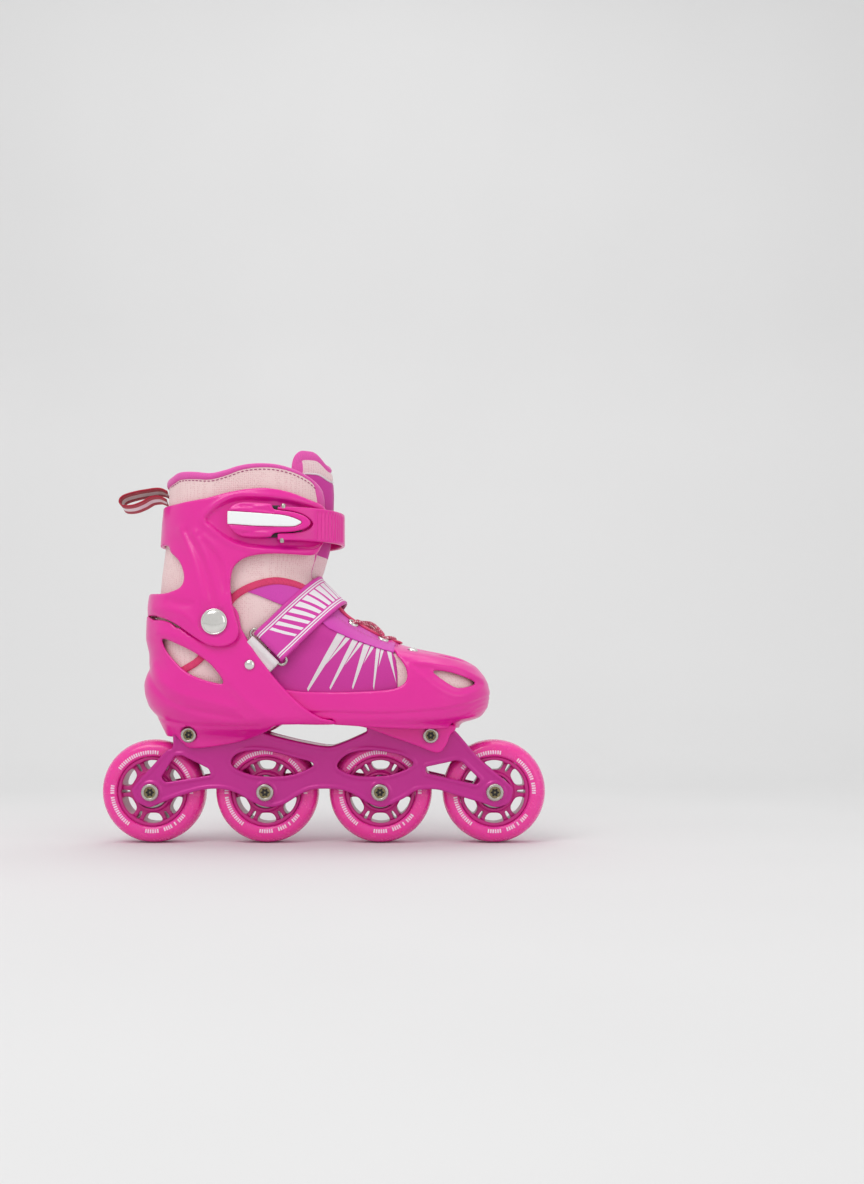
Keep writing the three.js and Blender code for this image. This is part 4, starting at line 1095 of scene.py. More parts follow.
def heel_shell():
    s = Space((-127, -46, 58), (90, 46, 166), 0.9)
    hull = s.form(HEEL)
    # The strut runs forward and down beside the window, and ridges wrap the heel.
    relief = carve(s, 0, (
        (
            3.6, 0.9,
            [
                (-108, 142), (-96, 139.5), (-84, 133.5), (-74, 126.5), (-64, 117), (-57, 107),
                (-47, 96), (-34, 87)
            ]
        ),
        (3.2, 0.8, [(-112, 120), (-107, 112), (-99, 105), (-88, 100), (-72, 96), (-56, 92)]),
        (2.2, -0.7, [(-118, 118), (-112, 108), (-103, 99), (-90, 92.5), (-72, 88), (-52, 84.5)]),
        (1.3, -0.55, [(-118, 88), (-104, 83), (-88, 80.6), (-66, 79.6), (-40, 80)]),
        (2.4, 0.6, [(-45, 130), (-36, 117.5), (-26, 105.5), (-14, 94), (-2, 86.5)]),
    ))
    outer = hull - relief
    outline = s.side(curve(HEEL_OUTLINE, steps=3))
    body = both(outer, outline, 1.3)
    cavity = both(hull + WALL, BED_Z - s.z, 0.8)
    body = less(body, cavity, 0.9)
    # The base plate under the foot, with a bowed front edge.
    front = 84 + 2.4 * np.sqrt(np.clip(1 - (s.y / BASE_HALF) ** 2, 0, 1))
    plate = both(both(abs(s.y) - BASE_HALF, s.x - front), np.maximum(80.7 - s.z, s.z - BED_Z), 0.4)
    plate = both(plate, -60 - s.x)
    side = abs(s.y)
    feet = both(s.side(curve(FRONT_FOOT, steps=4)), np.maximum(side - 21.4, 17.8 - side), 0.9)
    body = np.minimum(either(body, plate, 0.3), feet)
    body = less(body, both(s.side(CHANNEL), side - 17.8))
    body = less(body, s.side(curve(HEEL_WINDOW, steps=4)), 1.1)
    for x, z in MOUNTS:
        body = less(body, s.rod(x, z, BOLT_HOLE))
        body = less(body, both(s.rod(x, z, 5.8), 21.55 - side), 0.5)
    body = less(body, s.rod(*PIVOT, 3.9))
    body = less(body, both(s.rod(*ANCHOR, 1.9), s.y), 0.3)
    body = less(body, both(s.rod(*BUTTON, 6.0), 30 - s.y), 0.6)
    toe_room = s.side([(-46, 106), (-34, 94.5), (-23.5, 84.2), (12, 84.2), (12, 130), (-47, 130)])
    body = less(body, both(toe_room, abs(s.y) - 39.4))
    under = both(s.side(UNDER_CUFF), -(s.form(CUFF) + WALL + 0.6))
    body = less(body, under, 0.3)
    return done(
        s.mesh("heel_shell_look", body, MAT["shell"]), "chassis", "shell_plastic", "heel_shell"
    )


TOE_OUTLINE = (
    (-22, 84.3), (-33, 94.5), (-44, 104.6), (-23.6, 104), (-11.9, 102.6), (7.7, 102.2),
    (27.3, 102.6), (43, 103.6), (50.5, 105.2),
    (55.6, 108.6), (57, 113.6), (55.4, 119.4), (51.8, 124.6), (49.6, 127.8), (49, 140), (130, 140),
    (130, 81.2), (2, 81.2), (-8, 84.3),
)
SIDE_SLIT = (
    (74.0, 115.8), (83, 115.6), (93.6, 112.6), (101.8, 108.6), (98.1, 106.2), (90.2, 105.2),
    (83.6, 108.2)
)


def toe_shell():
    s = Space((-48, -47, 78), (118, 47, 138), 0.85)
    hull = s.form(TOE)
    rim = curve(
        [
            (-30, 86.4), (0.3, 88.9), (38, 88.2), (71.8, 90), (94.3, 93.5), (105.6, 97.4),
            (118, 101.5)
        ],
        False
    )
    # Below the rim line the wall steps in; the nose carries two more fine grooves.
    rim_z = np.interp(s.x[:, 0, 0], rim[:, 0], rim[:, 1])[:, None, None]
    relief = -0.8 * soft_step(s.z - rim_z, 0.5)
    relief = relief - ridge(s.z - rim_z, 0.8, 0.5)
    nose = np.clip((s.x - 70) / 20, 0, 1)
    relief = relief - nose * ridge(s.z - rim_z + 4.0 - 0.04 * (s.x - 94), 0.8, 0.35)
    relief = relief - np.clip((s.x - 84) / 12, 0, 1) * ridge(
        s.z - rim_z + 7.0 - 0.06 * (s.x - 94), 0.7, 0.3
    )
    # A shallow scoop surrounds the side vent.
    scoop = s.side(
        curve(
            [
                (60, 120.5), (78, 118.8), (92, 116.2), (104, 110.4), (107, 107.6), (101, 103.4),
                (90, 101.0), (79, 105.2), (70, 112)
            ],
            steps=5
        )
    )
    relief = relief - 0.9 * soft_step(scoop + 0.8, 0.55)
    relief = carve(
        s, relief, [(1.5, 0.35, [(66, 121.6), (80, 120), (94, 117), (106, 111.4), (112, 107.6)])]
    )
    relief = relief + ridge(scoop - 1.4, 1.3, 0.3)
    # Shallow lines on the top of the cap fan out to the toe.
    top = np.clip((s.z - 112) / 6, 0, 1)
    lobe = (
        (66, 14), (76, 20.5), (84, 19.8), (91, 15.6), (97, 10.6), (90, 10.4), (82, 12.4), (72, 12.2)
    )
    fan = np.minimum(*(s.plan(curve([(x, sign * y) for x, y in lobe])) for sign in (1, -1)))
    relief = relief - 0.6 * top * soft_step(fan - 1.2, 0.5)
    outer = hull - relief
    outline = s.side(curve(TOE_OUTLINE, steps=3))
    body = both(outer, outline, 1.2)
    body = less(body, both(hull + WALL, 86.8 - s.z, 1.0), 0.9)
    side = abs(s.y)
    # Room for the base plate, and for the heel shell's floor behind it.
    for front, half in ((87, 22), (8.2, 60)):
        body = less(body, s.box(-100, front, -half, half, 70, BED_Z + 0.35))
    throat = s.plan(
        curve(mirrored([(30, -19), (42, -18), (47.5, -11), (49.6, -5), (50, 0)]), steps=4)
    )
    body = less(body, both(throat, 118 - s.z), 0.9)
    body = less(body, s.side(curve(SIDE_SLIT, steps=5)), 0.8)
    for sign in (-1, 1):
        leaf = curve(
            [
                (76, sign * 20.4), (83, sign * 19.4), (90, sign * 15.2), (94.6, sign * 11.6),
                (89, sign * 11.6), (82, sign * 13.8)
            ],
            steps=4
        )
        body = less(body, both(s.plan(leaf), 100 - s.z), 0.7)
    return done(s.mesh("toe_shell_look", body, MAT["shell"]), "toe", "shell_plastic", "toe_shell")


CUFF_OUTLINE = (
    (-130, 226.4), (-101.6, 226.6), (-89.9, 227.6), (-74.3, 229.5), (-60.6, 233), (-46.9, 235.4),
    (-33.2, 235.8),
    (-19.5, 233.4), (-7.8, 229.5), (1, 226.2), (3.4, 219.8), (3.6, 208), (-0.4, 199.2),
    (-2.9, 194.3), (-8.8, 192.4),
    (-27.3, 192.8), (-41, 192), (-49.8, 189.4), (-55.7, 184.6), (-57.8, 177.7), (-58, 168.9),
    (-56.3, 157.2),
    (-53.1, 146.4), (-52.8, 139.6), (-56.7, 134.1), (-64.5, 131.8), (-73.3, 133.2), (-82.1, 138.4),
    (-91.9, 145),
    (-99.6, 149.2), (-107.5, 151.9), (-114, 153.2), (-130, 153.6), (-130, 168.6), (-106.5, 167.4),
    (-96.8, 168.9), (-91.5, 171.5),
    (-89.5, 176.3), (-90.5, 182.6), (-93.8, 188.9), (-100.1, 194.9), (-104.6, 200), (-130, 201.4),
)
EYE_POCKET = (
    (-74.6, 215.4), (-69, 221.4), (-61.4, 226.2), (-54, 228.6), (-45, 229), (-26, 227.8),
    (-8, 224.2), (4, 219),
    (6, 208), (-2, 199.4), (-10, 197.2), (-26, 196.8), (-45, 198), (-56.6, 201.4), (-64.3, 206),
    (-70, 210.6),
)
CUFF_GAP = 19.3  # half-width of the opening in front


def cuff():
    s = Space((-124, -49, 128), (16, 49, 240), 0.9)
    hull = s.form(CUFF)
    eye = s.side(curve(EYE_POCKET, steps=5))
    recess = soft_step(eye, 0.4)
    relief = ridge(eye - 2.4, 1.8, 0.8) - 2.0 * recess
    # Ridges and grooves run down from the pocket to the pivot.
    relief = carve(s, relief, (
        (3.4, 1.0, [(-92.1, 208.9), (-84.4, 192.6), (-78.7, 177.3), (-74.8, 162.9)]),
        (3.0, 1.0, [(-82, 206), (-72.9, 188.8), (-66.2, 169.6), (-63.3, 160)]),
        (2.6, 0.8, [(-76, 203.4), (-66, 195), (-60.5, 186), (-59.5, 176)]),
        (2.2, -0.7, [(-88, 208), (-78.6, 191), (-72.3, 173.6), (-69, 160)]),
        (2.0, -0.6, [(-79, 204.6), (-69.4, 192.6), (-63.4, 180), (-61.2, 168)]),
        (2.4, -0.7, [(-100, 162.6), (-92, 160.4), (-84, 159.4)]),
        (3.2, 0.8, [(-112, 158), (-98, 156), (-86, 151), (-78, 143)]),
    ))
    outer = hull - relief
    body = both(outer, s.side(curve(CUFF_OUTLINE, steps=4)), 1.3)
    body = less(body, hull + WALL + 1.2 * recess, 0.8)
    # The cuff is open over the instep.
    body = less(body, s.box(-20, 30, -CUFF_GAP, CUFF_GAP, 170, 260), 1.2)
    body = less(body, s.rod(*PIVOT, 4))
    lobe = np.sqrt((s.x - PIVOT[0]) ** 2 + (s.z - PIVOT[1]) ** 2)
    body = less(body, both(lobe - 10.4, -(hull + 0.35)), 0.3)
    return done(s.mesh("cuff_look", body, MAT["shell"]), "cuff", "shell_plastic", "cuff")


# ------------------------------------------------------------------ hardware on the boot
def boot_bolts():
    for word, (x, z) in zip(("rear", "front"), MOUNTS):
        halves = []
        for s, side in SIDES:
            name = f"boot_bolt_{word}_{side}"
            obj = bolt(name, x, z, s, 21.9, 5.2, 1.8, [(0, 0.0), (3.0, 0.0), (3.0, 21.9)], 3.5)
            halves.append(obj)
        for obj in halves:
            done(obj, "chassis", "bolt_steel")
        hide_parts(f"boot_bolt_{word}")


def rivets():
    for s, side in SIDES:
        profile = [
            (0, 47.0), (2.5, 46.95), (4.6, 46.75), (6.2, 46.4), (7.2, 45.9), (7.5, 45.55),
            (7.7, 45.75), (8.25, 45.75),
            (8.5, 45.5), (8.5, 45.15), (3.5, 45.15), (3.5, 37.9), (0, 37.9),
        ]
        obj = turned(
            f"cuff_rivet_{side}_look", [(r, s * y) for r, y in profile], *PIVOT, MAT["chrome"], 72
        )
        done(sharpen(obj, 50), "chassis", "rivet_chrome", f"cuff_rivet_{side}")
    profile = [
        (0, -44.1), (1.2, -44.0), (2.3, -43.6), (3.1, -43.1), (3.4, -42.6), (3.4, -42.5),
        (1.5, -42.5), (1.5, -36.9), (0, -36.9)
    ]
    obj = turned("strap_anchor_rivet_look", profile, *ANCHOR, MAT["chrome"], 40)
    done(obj, "chassis", "bolt_steel", "strap_anchor_rivet")
    for s, side in SIDES:
        x, y = np.array(60.5), np.array(s * 24.0)
        profile = [(0, 1.5), (1.6, 1.4), (2.8, 1.0), (3.5, 0.4), (3.6, -0.4), (0, -0.4)]
        at = (float(x), float(y), float(TOE.top(x, y)))
        stud = turned_on(f"toe_rivet_{side}", profile, at, TOE.normal(x, y), MAT["chrome"])
        done(stud, "toe", "rivet_chrome")


def size_button():
    profile = [
        (0, 45.3), (2.4, 45.3), (3.2, 45.55), (4.2, 45.6), (4.9, 45.3), (5.3, 44.7), (5.3, 41.6),
        (0, 41.6)
    ]
    obj = turned("size_button_look", profile, *BUTTON, MAT["black"], 48)
    done(sharpen(obj, 40), "button", "black_plastic", "size_button")


# ------------------------------------------------------------------ buckles and ladder strap
BAND = {"low": 201.3, "high": 223.1, "from": -28.0, "front": 14.0, "half": 44.7, "thick": 2.4}
LEVER_OUTLINE = (
    (-59, 220.3), (-58.2, 222.2), (-56.4, 223.9), (-53.3, 225.2), (-48.9, 225.8), (-40.3, 225.5),
    (-32.2, 224.8), (-31, 223.6),
    (-29.6, 221.4), (-26.4, 220.7), (-16.3, 219.2), (-9.2, 216.4), (-5.9, 212.8), (-8.6, 209.2),
    (-16.3, 206.9),
    (-26.4, 206.2), (-29.6, 205.6), (-31, 204.4), (-32.2, 203.4), (-40.3, 203), (-48.9, 203.6),
    (-53.7, 205.1),
    (-57.1, 208), (-59, 211),
)
INLAY_OUTLINE = (
    (-59.6, 219.2), (-58.9, 219.9), (-50, 219.4), (-30.7, 218), (-22.1, 217), (-16, 215.2),
    (-11.5, 212.8), (-14.2, 210.8), (-19.2, 209.9),
    (-40.3, 210.3), (-54.7, 211.3), (-58.9, 211.5), (-59.6, 212.2),
)


def band_distance(s):
    """Signed distance to the ladder band's outer face in plan, and the turn around it."""
    rx, ry = BAND["front"] - BAND["from"], BAND["half"]
    u, v = (s.x - BAND["from"]) / rx, s.y / ry
    ahead = np.sqrt(u * u + v * v)
    scale = np.sqrt((u / rx) ** 2 + (v / ry) ** 2) / np.maximum(ahead, 1e-6)
    bow = (ahead - 1) / np.maximum(scale, 1e-6)
    straight = abs(s.y) - ry
    turn = np.degrees(np.arctan2(v, u))
    return np.where(s.x > BAND["from"], bow, straight), turn


def ladder_strap():
    s = Space((-34, -48, 199), (17, 48, 225), 0.55)
    outer, turn = band_distance(s)
    wave = np.where(
        (abs(turn) < 54) & (abs(turn) > 9), 0.34 * np.cos(np.radians(turn * 360 / 4.4)) - 0.34, 0
    )
    mid = (s.z - 212) / 10
    wave = wave * np.clip((1.0 - abs(mid)) * 6, 0, 1)
    face = outer - wave
    body = both(
        both(face, -(outer + BAND["thick"]), 0.6),
        np.maximum(BAND["low"] - s.z, s.z - BAND["high"]), 1.0
    )
    body = both(body, -27.4 - s.x, 0.8)
    fork = s.side(
        curve(
            [
                (-60, 205.4), (-40, 205.4), (-26.4, 205.6), (-16.3, 206.3), (-7.9, 208.7),
                (-4.9, 212.8), (-8.6, 216.9), (-16.3, 219.8), (-26.4, 221.1), (-40, 221.3),
                (-60, 221.3)
            ],
            steps=3
        )
    )
    body = less(body, both(fork, 30 - abs(s.y)), 0.6)
    return done(
        s.mesh("ladder_strap_look", body, MAT["shell"]), "cuff", "shell_plastic", "ladder_strap"
    )


def buckle(s, side):
    v = Space((-62, 28, 198), (-4, 48.4, 230), 0.5)
    side_y = v.y
    outline = v.side(curve(LEVER_OUTLINE, steps=4))
    # The lever's face is crowned, with creases running out to its wide end.
    crown = 46.5 - 0.9 * np.clip((abs(v.z - 214.2) / 10) ** 2, 0, 1.5)
    for height, line in (
        (0.5, [(-57, 221.2), (-46, 221.8), (-33, 223.6)]),
        (0.5, [(-57, 208.6), (-46, 207), (-33, 205)]),
        (-0.5, [(-50, 223.6), (-40, 221.6), (-30, 219.4)]),
        (-0.5, [(-50, 205.2), (-40, 207.4), (-30, 208.4)])
    ):
        crown = crown + ridge(v.side_line(line), 1.1, height)
    lever = both(outline, np.maximum(side_y - crown, 42.5 - side_y), 0.9)
    inlay_shape = v.side(curve(INLAY_OUTLINE, steps=4))
    lever = less(lever, both(inlay_shape - 0.35, 45.5 - side_y), 0.3)
    lever = less(lever, v.box(-62, -34, 40, 43.3, 206, 222), 0.4)
    obj = v.mesh(f"buckle_lever_{side}_look", lever, MAT["shell"])
    inlay = both(inlay_shape, np.maximum(side_y - 46.9, 45.7 - side_y), 0.45)
    white = v.mesh(f"lever_inlay_{side}_look", inlay, MAT["white"])
    base = np.minimum(
        v.box(-40, -12, 33, 42, 206.4, 221.2), v.box(-35, -26, 33, 42.4, 203.4, 224.2)
    )
    base = both(base, -2.1 - v.form(CUFF), 0.3)
    band, _ = band_distance(v)
    base = both(base, band + BAND["thick"] + 0.35, 0.3)
    black = v.mesh(f"buckle_base_{side}_look", base, MAT["black"])
    pin = turned_at(
        f"buckle_pin_{side}", (-23.6, 43.2, 224.0), (0, 0, 1),
        [(0, 1.0), (1.2, 0.9), (1.5, 0.4), (1.5, -2.0), (0, -2.0)], MAT["steel"]
    )
    low = turned_at(
        f"buckle_pin_low_{side}", (-24.6, 43.2, 200.4), (0, 0, -1),
        [(0, 1.0), (1.2, 0.9), (1.5, 0.4), (1.5, -2.0), (0, -2.0)], MAT["steel"]
    )
    for o in (obj, white, black, pin, low):
        if s < 0:
            flip_y(o)
    done(obj, f"lever_{side}", "shell_plastic", f"buckle_lever_{side}")
    done(white, f"lever_{side}", "white_plastic", f"lever_inlay_{side}")
    done(black, "cuff", "black_plastic", f"buckle_base_{side}")
    done(pin, "cuff", "bolt_steel")
    done(low, "cuff", "bolt_steel")


def turned_at(name, point, axis, profile, material):
    return sharpen(turned_on(name, profile, point, axis, material, 24), 50)


def flip_y(obj):
    """Mirrors a mesh to the other side of the skate, still facing out."""
    bm = bmesh.new()
    bm.from_mesh(obj.data)
    for v in bm.verts:
        v.co.y = -v.co.y
    bmesh.ops.reverse_faces(bm, faces=bm.faces)
    bm.to_mesh(obj.data)
    bm.free()


# ------------------------------------------------------------------ soft boot
LINER_WALL = 4.0
# The two lengths of the soft boot meet under the instep strap, on x - z = SEAM_N * sqrt(2).
SEAM_N = -117.5
ROOT2 = math.sqrt(2)
COLLAR_TOP = (
    (-130, 243), (-112, 244.2), (-101.3, 245.8), (-94.3, 247.8), (-84, 247.2), (-72.5, 245.8),
    (-62.6, 247.8), (-52.6, 250.9),
    (-40.7, 252.3), (-26.8, 251.3), (-12.9, 247), (-3, 240.4), (2, 231.5), (3.4, 221.5),
)
REAR_TO_CUFF = ((-0.06, 0, 0.136), (-0.052, 0, 0.196))
FRONT_TO_TOE = (
    (SEAM_N / ROOT2 * MM, 0, -SEAM_N / ROOT2 * MM),
    ((SEAM_N + 15) / ROOT2 * MM, 0, -(SEAM_N + 15) / ROOT2 * MM)
)


def seam_point(z, n=SEAM_N):
    return (z + n * ROOT2, z)


def soft(obj, pair, ends, slot, *nodes):
    """Bakes a soft piece's placement into its mesh, in place of its CAD nodes; pair and ends are
    not used.
    """
    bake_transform(obj)
    if nodes:
        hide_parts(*nodes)
    return obj


def soft_rear(obj, slot, *nodes):
    return soft(obj, ("chassis", "cuff"), REAR_TO_CUFF, slot, *nodes)


def soft_front(obj, slot, *nodes):
    return soft(obj, ("chassis", "toe"), FRONT_TO_TOE, slot, *nodes)


def rear_region():
    foot = [
        (-130, 87), (-79, 87), seam_point(92), seam_point(104), seam_point(120), seam_point(140),
        seam_point(160), seam_point(169)
    ]
    front = [(6, 180), (5, 200), (4.4, 214)]
    return foot + front + [tuple(p) for p in curve(COLLAR_TOP, False)[::-1]]


def throat_field(s):
    """The slot in front that the tongue fills: narrow over the instep and wider at the collar."""
    half = np.interp(
        s.z, (150, 170, 182, 200, 225, 240, 250, 262), (13.2, 13.2, 12.5, 12, 11.5, 14, 18, 24)
    )
    return both(abs(s.y) - half, np.maximum(-27 - s.x, 150 - s.z))


def liner_rear():
    s = Space((-122, -40, 84), (14, 40, 258), 1.0)
    hull = s.form(LINER)
    region = s.side(rear_region())
    throat = throat_field(s)
    # Outer knit and inner lining are two layers of the same wall.
    cloth = both(both(hull, -(hull + 2.1), 0.5), region, 0.6)
    cloth = less(cloth, throat, 0.6)
    knit_layer = s.mesh("liner_rear_knit", cloth, MAT["mesh"])
    pad = np.interp(
        s.z, (196, 215, 236, 262), (0, 2.0, 5.2, 5.2)
    ) * np.interp(s.x, (-30, -5), (1, 0.1))
    inner = both(both(hull + 2.2, -(hull + LINER_WALL + pad), 0.4), region + 1.5, 2.0)
    inner = less(inner, throat, 0.6)
    inner_layer = s.mesh("liner_rear_lining", inner, MAT["lining"])
    soft_rear(knit_layer, "mesh_fabric", "liner_heel", "liner_collar")
    soft_rear(inner_layer, "lining_fabric")
    # The padded rim rolls over the top edge and thins towards the front.
    depth = np.interp(s.x, (-110, -80, -50, -20, 3), (5.6, 4.6, 3.2, 2.6, 2.2))
    grown = np.interp(s.x, (-110, -60, -10), (1.5, 1.1, 0.7))
    below = np.interp(s.z, (150, 190, 199, 215, 240), (1.4, 1.6, 5.0, 7.5, 9.0))
    inside = hull + 2.6
    depth = depth + np.where(inside < 0, 9.0, 0.0)
    near = np.minimum(-region - depth, throat - below)
    ends = np.maximum(region - 0.7, -throat - 0.8)
    rim = both(
        both(near, ends, 1.5), both(hull - grown, -(hull + LINER_WALL + 0.9 + pad), 2.2), 2.4
    )
    rim = both(rim, 150 - s.z)
    rim_obj = s.mesh("collar_rim", rim, MAT["binding"])
    soft_rear(rim_obj, "lining_fabric")


def on_side(x, z, side, lift):
    """Points on the outer side of the liner at side-view (x, z), lifted along its normal."""
    x, z = np.asarray(x, float), np.asarray(z, float)
    e = 0.6
    y = LINER.half_width(x, z)
    gx = (LINER.half_width(x + e, z) - LINER.half_width(x - e, z)) / (2 * e)
    gz = (LINER.half_width(x, z + e) - LINER.half_width(x, z - e)) / (2 * e)
    gx, gz = np.clip(gx, -6, 6), np.clip(gz, -6, 6)
    size = np.sqrt(1 + gx * gx + gz * gz)
    n = np.stack([-gx / size, 1 / size, -gz / size], -1)
    p = np.stack([x, y, z], -1) + n * lift
    p[..., 1] *= side
    n[..., 1] *= side
    return p, n


def side_tape(name, points, side, width, thick, lift, material, steps=10):
    """A flat tape sewn along a side-view line of the liner."""
    line = curve(points, False, steps)
    p, n = on_side(line[:, 0], line[:, 1], side, lift)
    return sweep(
        name, p, strip_section(width / 2, thick, min(0.4, thick / 2), 0.25 * thick, 7), n, material
    )


def side_patch(name, outline, side, lift, thick, material, size=2.2):
    """A thin sheet cut to a side-view outline and laid on the liner's side."""
    bm = bmesh.new()
    verts = [bm.verts.new((x, 0, z)) for x, z in outline]
    bm.faces.new(verts)
    bmesh.ops.triangulate(bm, faces=bm.faces[:])
    for _ in range(6):
        long = [e for e in bm.edges if e.calc_length() > size]
        if not long:
            break
        bmesh.ops.subdivide_edges(bm, edges=long, cuts=1)
        bmesh.ops.triangulate(bm, faces=bm.faces[:])
    bm.verts.ensure_lookup_table()
    bm.verts.index_update()
    flat = np.array([v.co[:] for v in bm.verts])
    faces = [[v.index for v in f.verts] for f in bm.faces]
    rim = [(e.verts[0].index, e.verts[1].index) for e in bm.edges if len(e.link_faces) == 1]
    bm.free()
    top, _ = on_side(flat[:, 0], flat[:, 2], side, lift + thick)
    low, _ = on_side(flat[:, 0], flat[:, 2], side, lift)
    count = len(flat)
    faces += [[i + count for i in f[::-1]] for f in faces]
    faces += [[a, b, b + count, a + count] for a, b in rim]
    return sharpen(outward(mesh_object(name, np.concatenate([top, low]), faces, material)), 50)


VAMP_SPIKES = (
    ((10.6, 140.8), (15.6, 139.0), (-8.1, 102.7), (-8.7, 104.6)),
    ((16.2, 138.0), (19.0, 137.2), (3.0, 119.8)),
    ((20.6, 136.6), (24.4, 135.7), (6.6, 103.8), (6.0, 105.2)),
    ((25.2, 134.9), (27.5, 134.1), (15.6, 119.4)),
    ((28.2, 133.4), (32.2, 132.6), (21.4, 104.0), (20.8, 105.6)),
    ((32.9, 132.0), (35.0, 131.4), (28.4, 121.0)),
    ((36.5, 131.0), (38.9, 130.3), (35.2, 103.6), (34.6, 106.0)),
    ((39.5, 129.9), (41.5, 129.4), (38.2, 118.6)),
    ((43.4, 129.0), (46.4, 127.9), (50.0, 107.4), (49.3, 110.0)),
)


def liner_front():
    s = Space((-84, -40, 84), (112, 40, 176), 0.95)
    hull = s.form(LINER)
    region = s.side(
        [
            seam_point(86.9, SEAM_N + 0.3), seam_point(171, SEAM_N + 0.3), (40, 172), (130, 150),
            (130, 86.9)
        ]
    )
    cloth = both(both(hull, -(hull + LINER_WALL), 0.5), region, 0.5)
    throat = both(
        abs(s.y) - np.interp(s.x, (-10, 10, 30, 50), (13, 12, 11, 10)),
        np.maximum(118 - s.z, np.maximum(-30 - s.x, s.x - 50))
    )
    cloth = less(cloth, throat, 1.0)
    # In the toe the cloth stays under the moulded cap.
    cloth = both(cloth, np.where(s.x > 46, s.form(TOE) + 0.9, -9.0))
    obj = s.mesh("liner_front_knit", cloth, MAT["mesh"])
    soft_front(obj, "mesh_fabric", "liner_toe")
    # Magenta vamp panels, one on each side, with white flame marks printed on them.
    vamp = [
        seam_point(90, SEAM_N + 3), seam_point(124, SEAM_N + 3), seam_point(140, SEAM_N + 3),
        seam_point(150, SEAM_N + 3), (2, 148), (13, 141.6), (24, 137), (36, 132.6), (47, 129.4),
        (49.5, 124), (50.6, 116), (50.8, 106), (50.4, 96), (20, 94), (-40, 94),
    ]
    v = Space((-84, -41, 88), (58, 41, 158), 0.8)
    skin = v.form(LINER)
    sheet = both(both(skin - 0.75, -(skin + 0.9), 0.3), v.side(vamp), 0.3)
    for side, word in SIDES:
        half = both(sheet, 16 - side * v.y)
        panel = v.mesh(f"vamp_panel_{word}", half, MAT["vamp"])
        soft_front(panel, "synthetic_leather")
        for k, spike in enumerate(VAMP_SPIKES):
            mark = side_patch(
                f"vamp_flame_{word}_{k + 1}", spike, side, 0.72, 0.12, MAT["ink"], 1.6
            )
            soft_front(mark, "mesh_fabric")


def rear_trim():
    """Tape, patch and seams sewn on the quarter, on both sides."""
    arc = [
        (-101, 112.5), (-95, 114.6), (-88.3, 117.8), (-78.7, 124.4), (-70, 138), (-63.5, 154),
        (-56.6, 164.6), (-45.1, 171.6), (-30.7, 175.2), (-18.3, 173.6), (-9, 169.6), (-2, 165)
    ]
    patch = [
        (-48, 169.2), (-38, 172.6), (-30.7, 174.2), (-18.3, 172.6), (-8, 168.2), (-14, 158),
        (-22, 158.6), (-33.6, 163.2)
    ]
    seam = [(-48.5, 168.6), (-40, 165.8), (-33.6, 163.2), (-22, 158.4), (-12, 153.4)]
    for side, word in SIDES:
        patch_obj = side_patch(f"quarter_patch_{word}", patch, side, 0.05, 0.7, MAT["violet"])
        soft_rear(patch_obj, "synthetic_leather")
        tape = side_tape(f"quarter_tape_{word}", arc, side, 4.8, 1.2, 0.1, MAT["coral"])
        soft_rear(tape, "synthetic_leather")
        line = curve(seam, False)
        p, n = on_side(line[:, 0], line[:, 1], side, 0.75)
        soft_rear(
            sweep(f"quarter_seam_{word}", p, round_section(0.45, 6), n, MAT["violet"]),
            "synthetic_leather"
        )
        for tag, offset in (("upper", 1.45), ("lower", -1.45)):
            shifted = curve(arc, False)
            t = tangents(shifted)
            shifted = shifted + offset * np.stack([-t[:, 1], t[:, 0]], -1)
            p, n = on_side(shifted[:, 0], shifted[:, 1], side, 1.3)
            soft_rear(
                stitches(f"tape_stitches_{tag}_{word}", p, n, MAT["coral"], 1.7, 0.9, 0.22, 0.1),
                "synthetic_leather"
            )
        # A row of stitches follows the padded rim.
        top = curve(COLLAR_TOP, False)
        keep = (top[:, 0] > -103) & (top[:, 0] < 1.5)
        line = top[keep]
        t = tangents(line)
        drop = np.interp(line[:, 0], (-110, -80, -50, -20, 3), (6.2, 5.2, 3.8, 3.2, 2.8))
        line = line + drop[:, None] * np.stack([t[:, 1], -t[:, 0]], -1)
        p, n = on_side(line[:, 0], line[:, 1], side, 0.12)
        soft_rear(
            stitches(f"rim_stitches_{word}", p, n, MAT["thread"], 2.0, 0.9, 0.3), "lining_fabric"
        )


TONGUE_PATH = (
    (-1.3, 257), (-1.2, 250), (-0.8, 238), (-0.9, 227), (-1.4, 213), (-2.8, 200), (-5.4, 189.5),
    (-7.4, 181), (-5.6, 174.4),
    (-0.6, 167.6), (6.8, 158.8), (14.6, 150.4), (27.4, 141.8), (42.6, 133.6), (47, 131.6),
)


# Distances down the tongue's front, and in from its sides, where its materials change.
TONGUE = {"binding": 5.4, "panel": 12, "panel_end": 62, "side_end": 76, "side": 2.6, "top": 264.2}


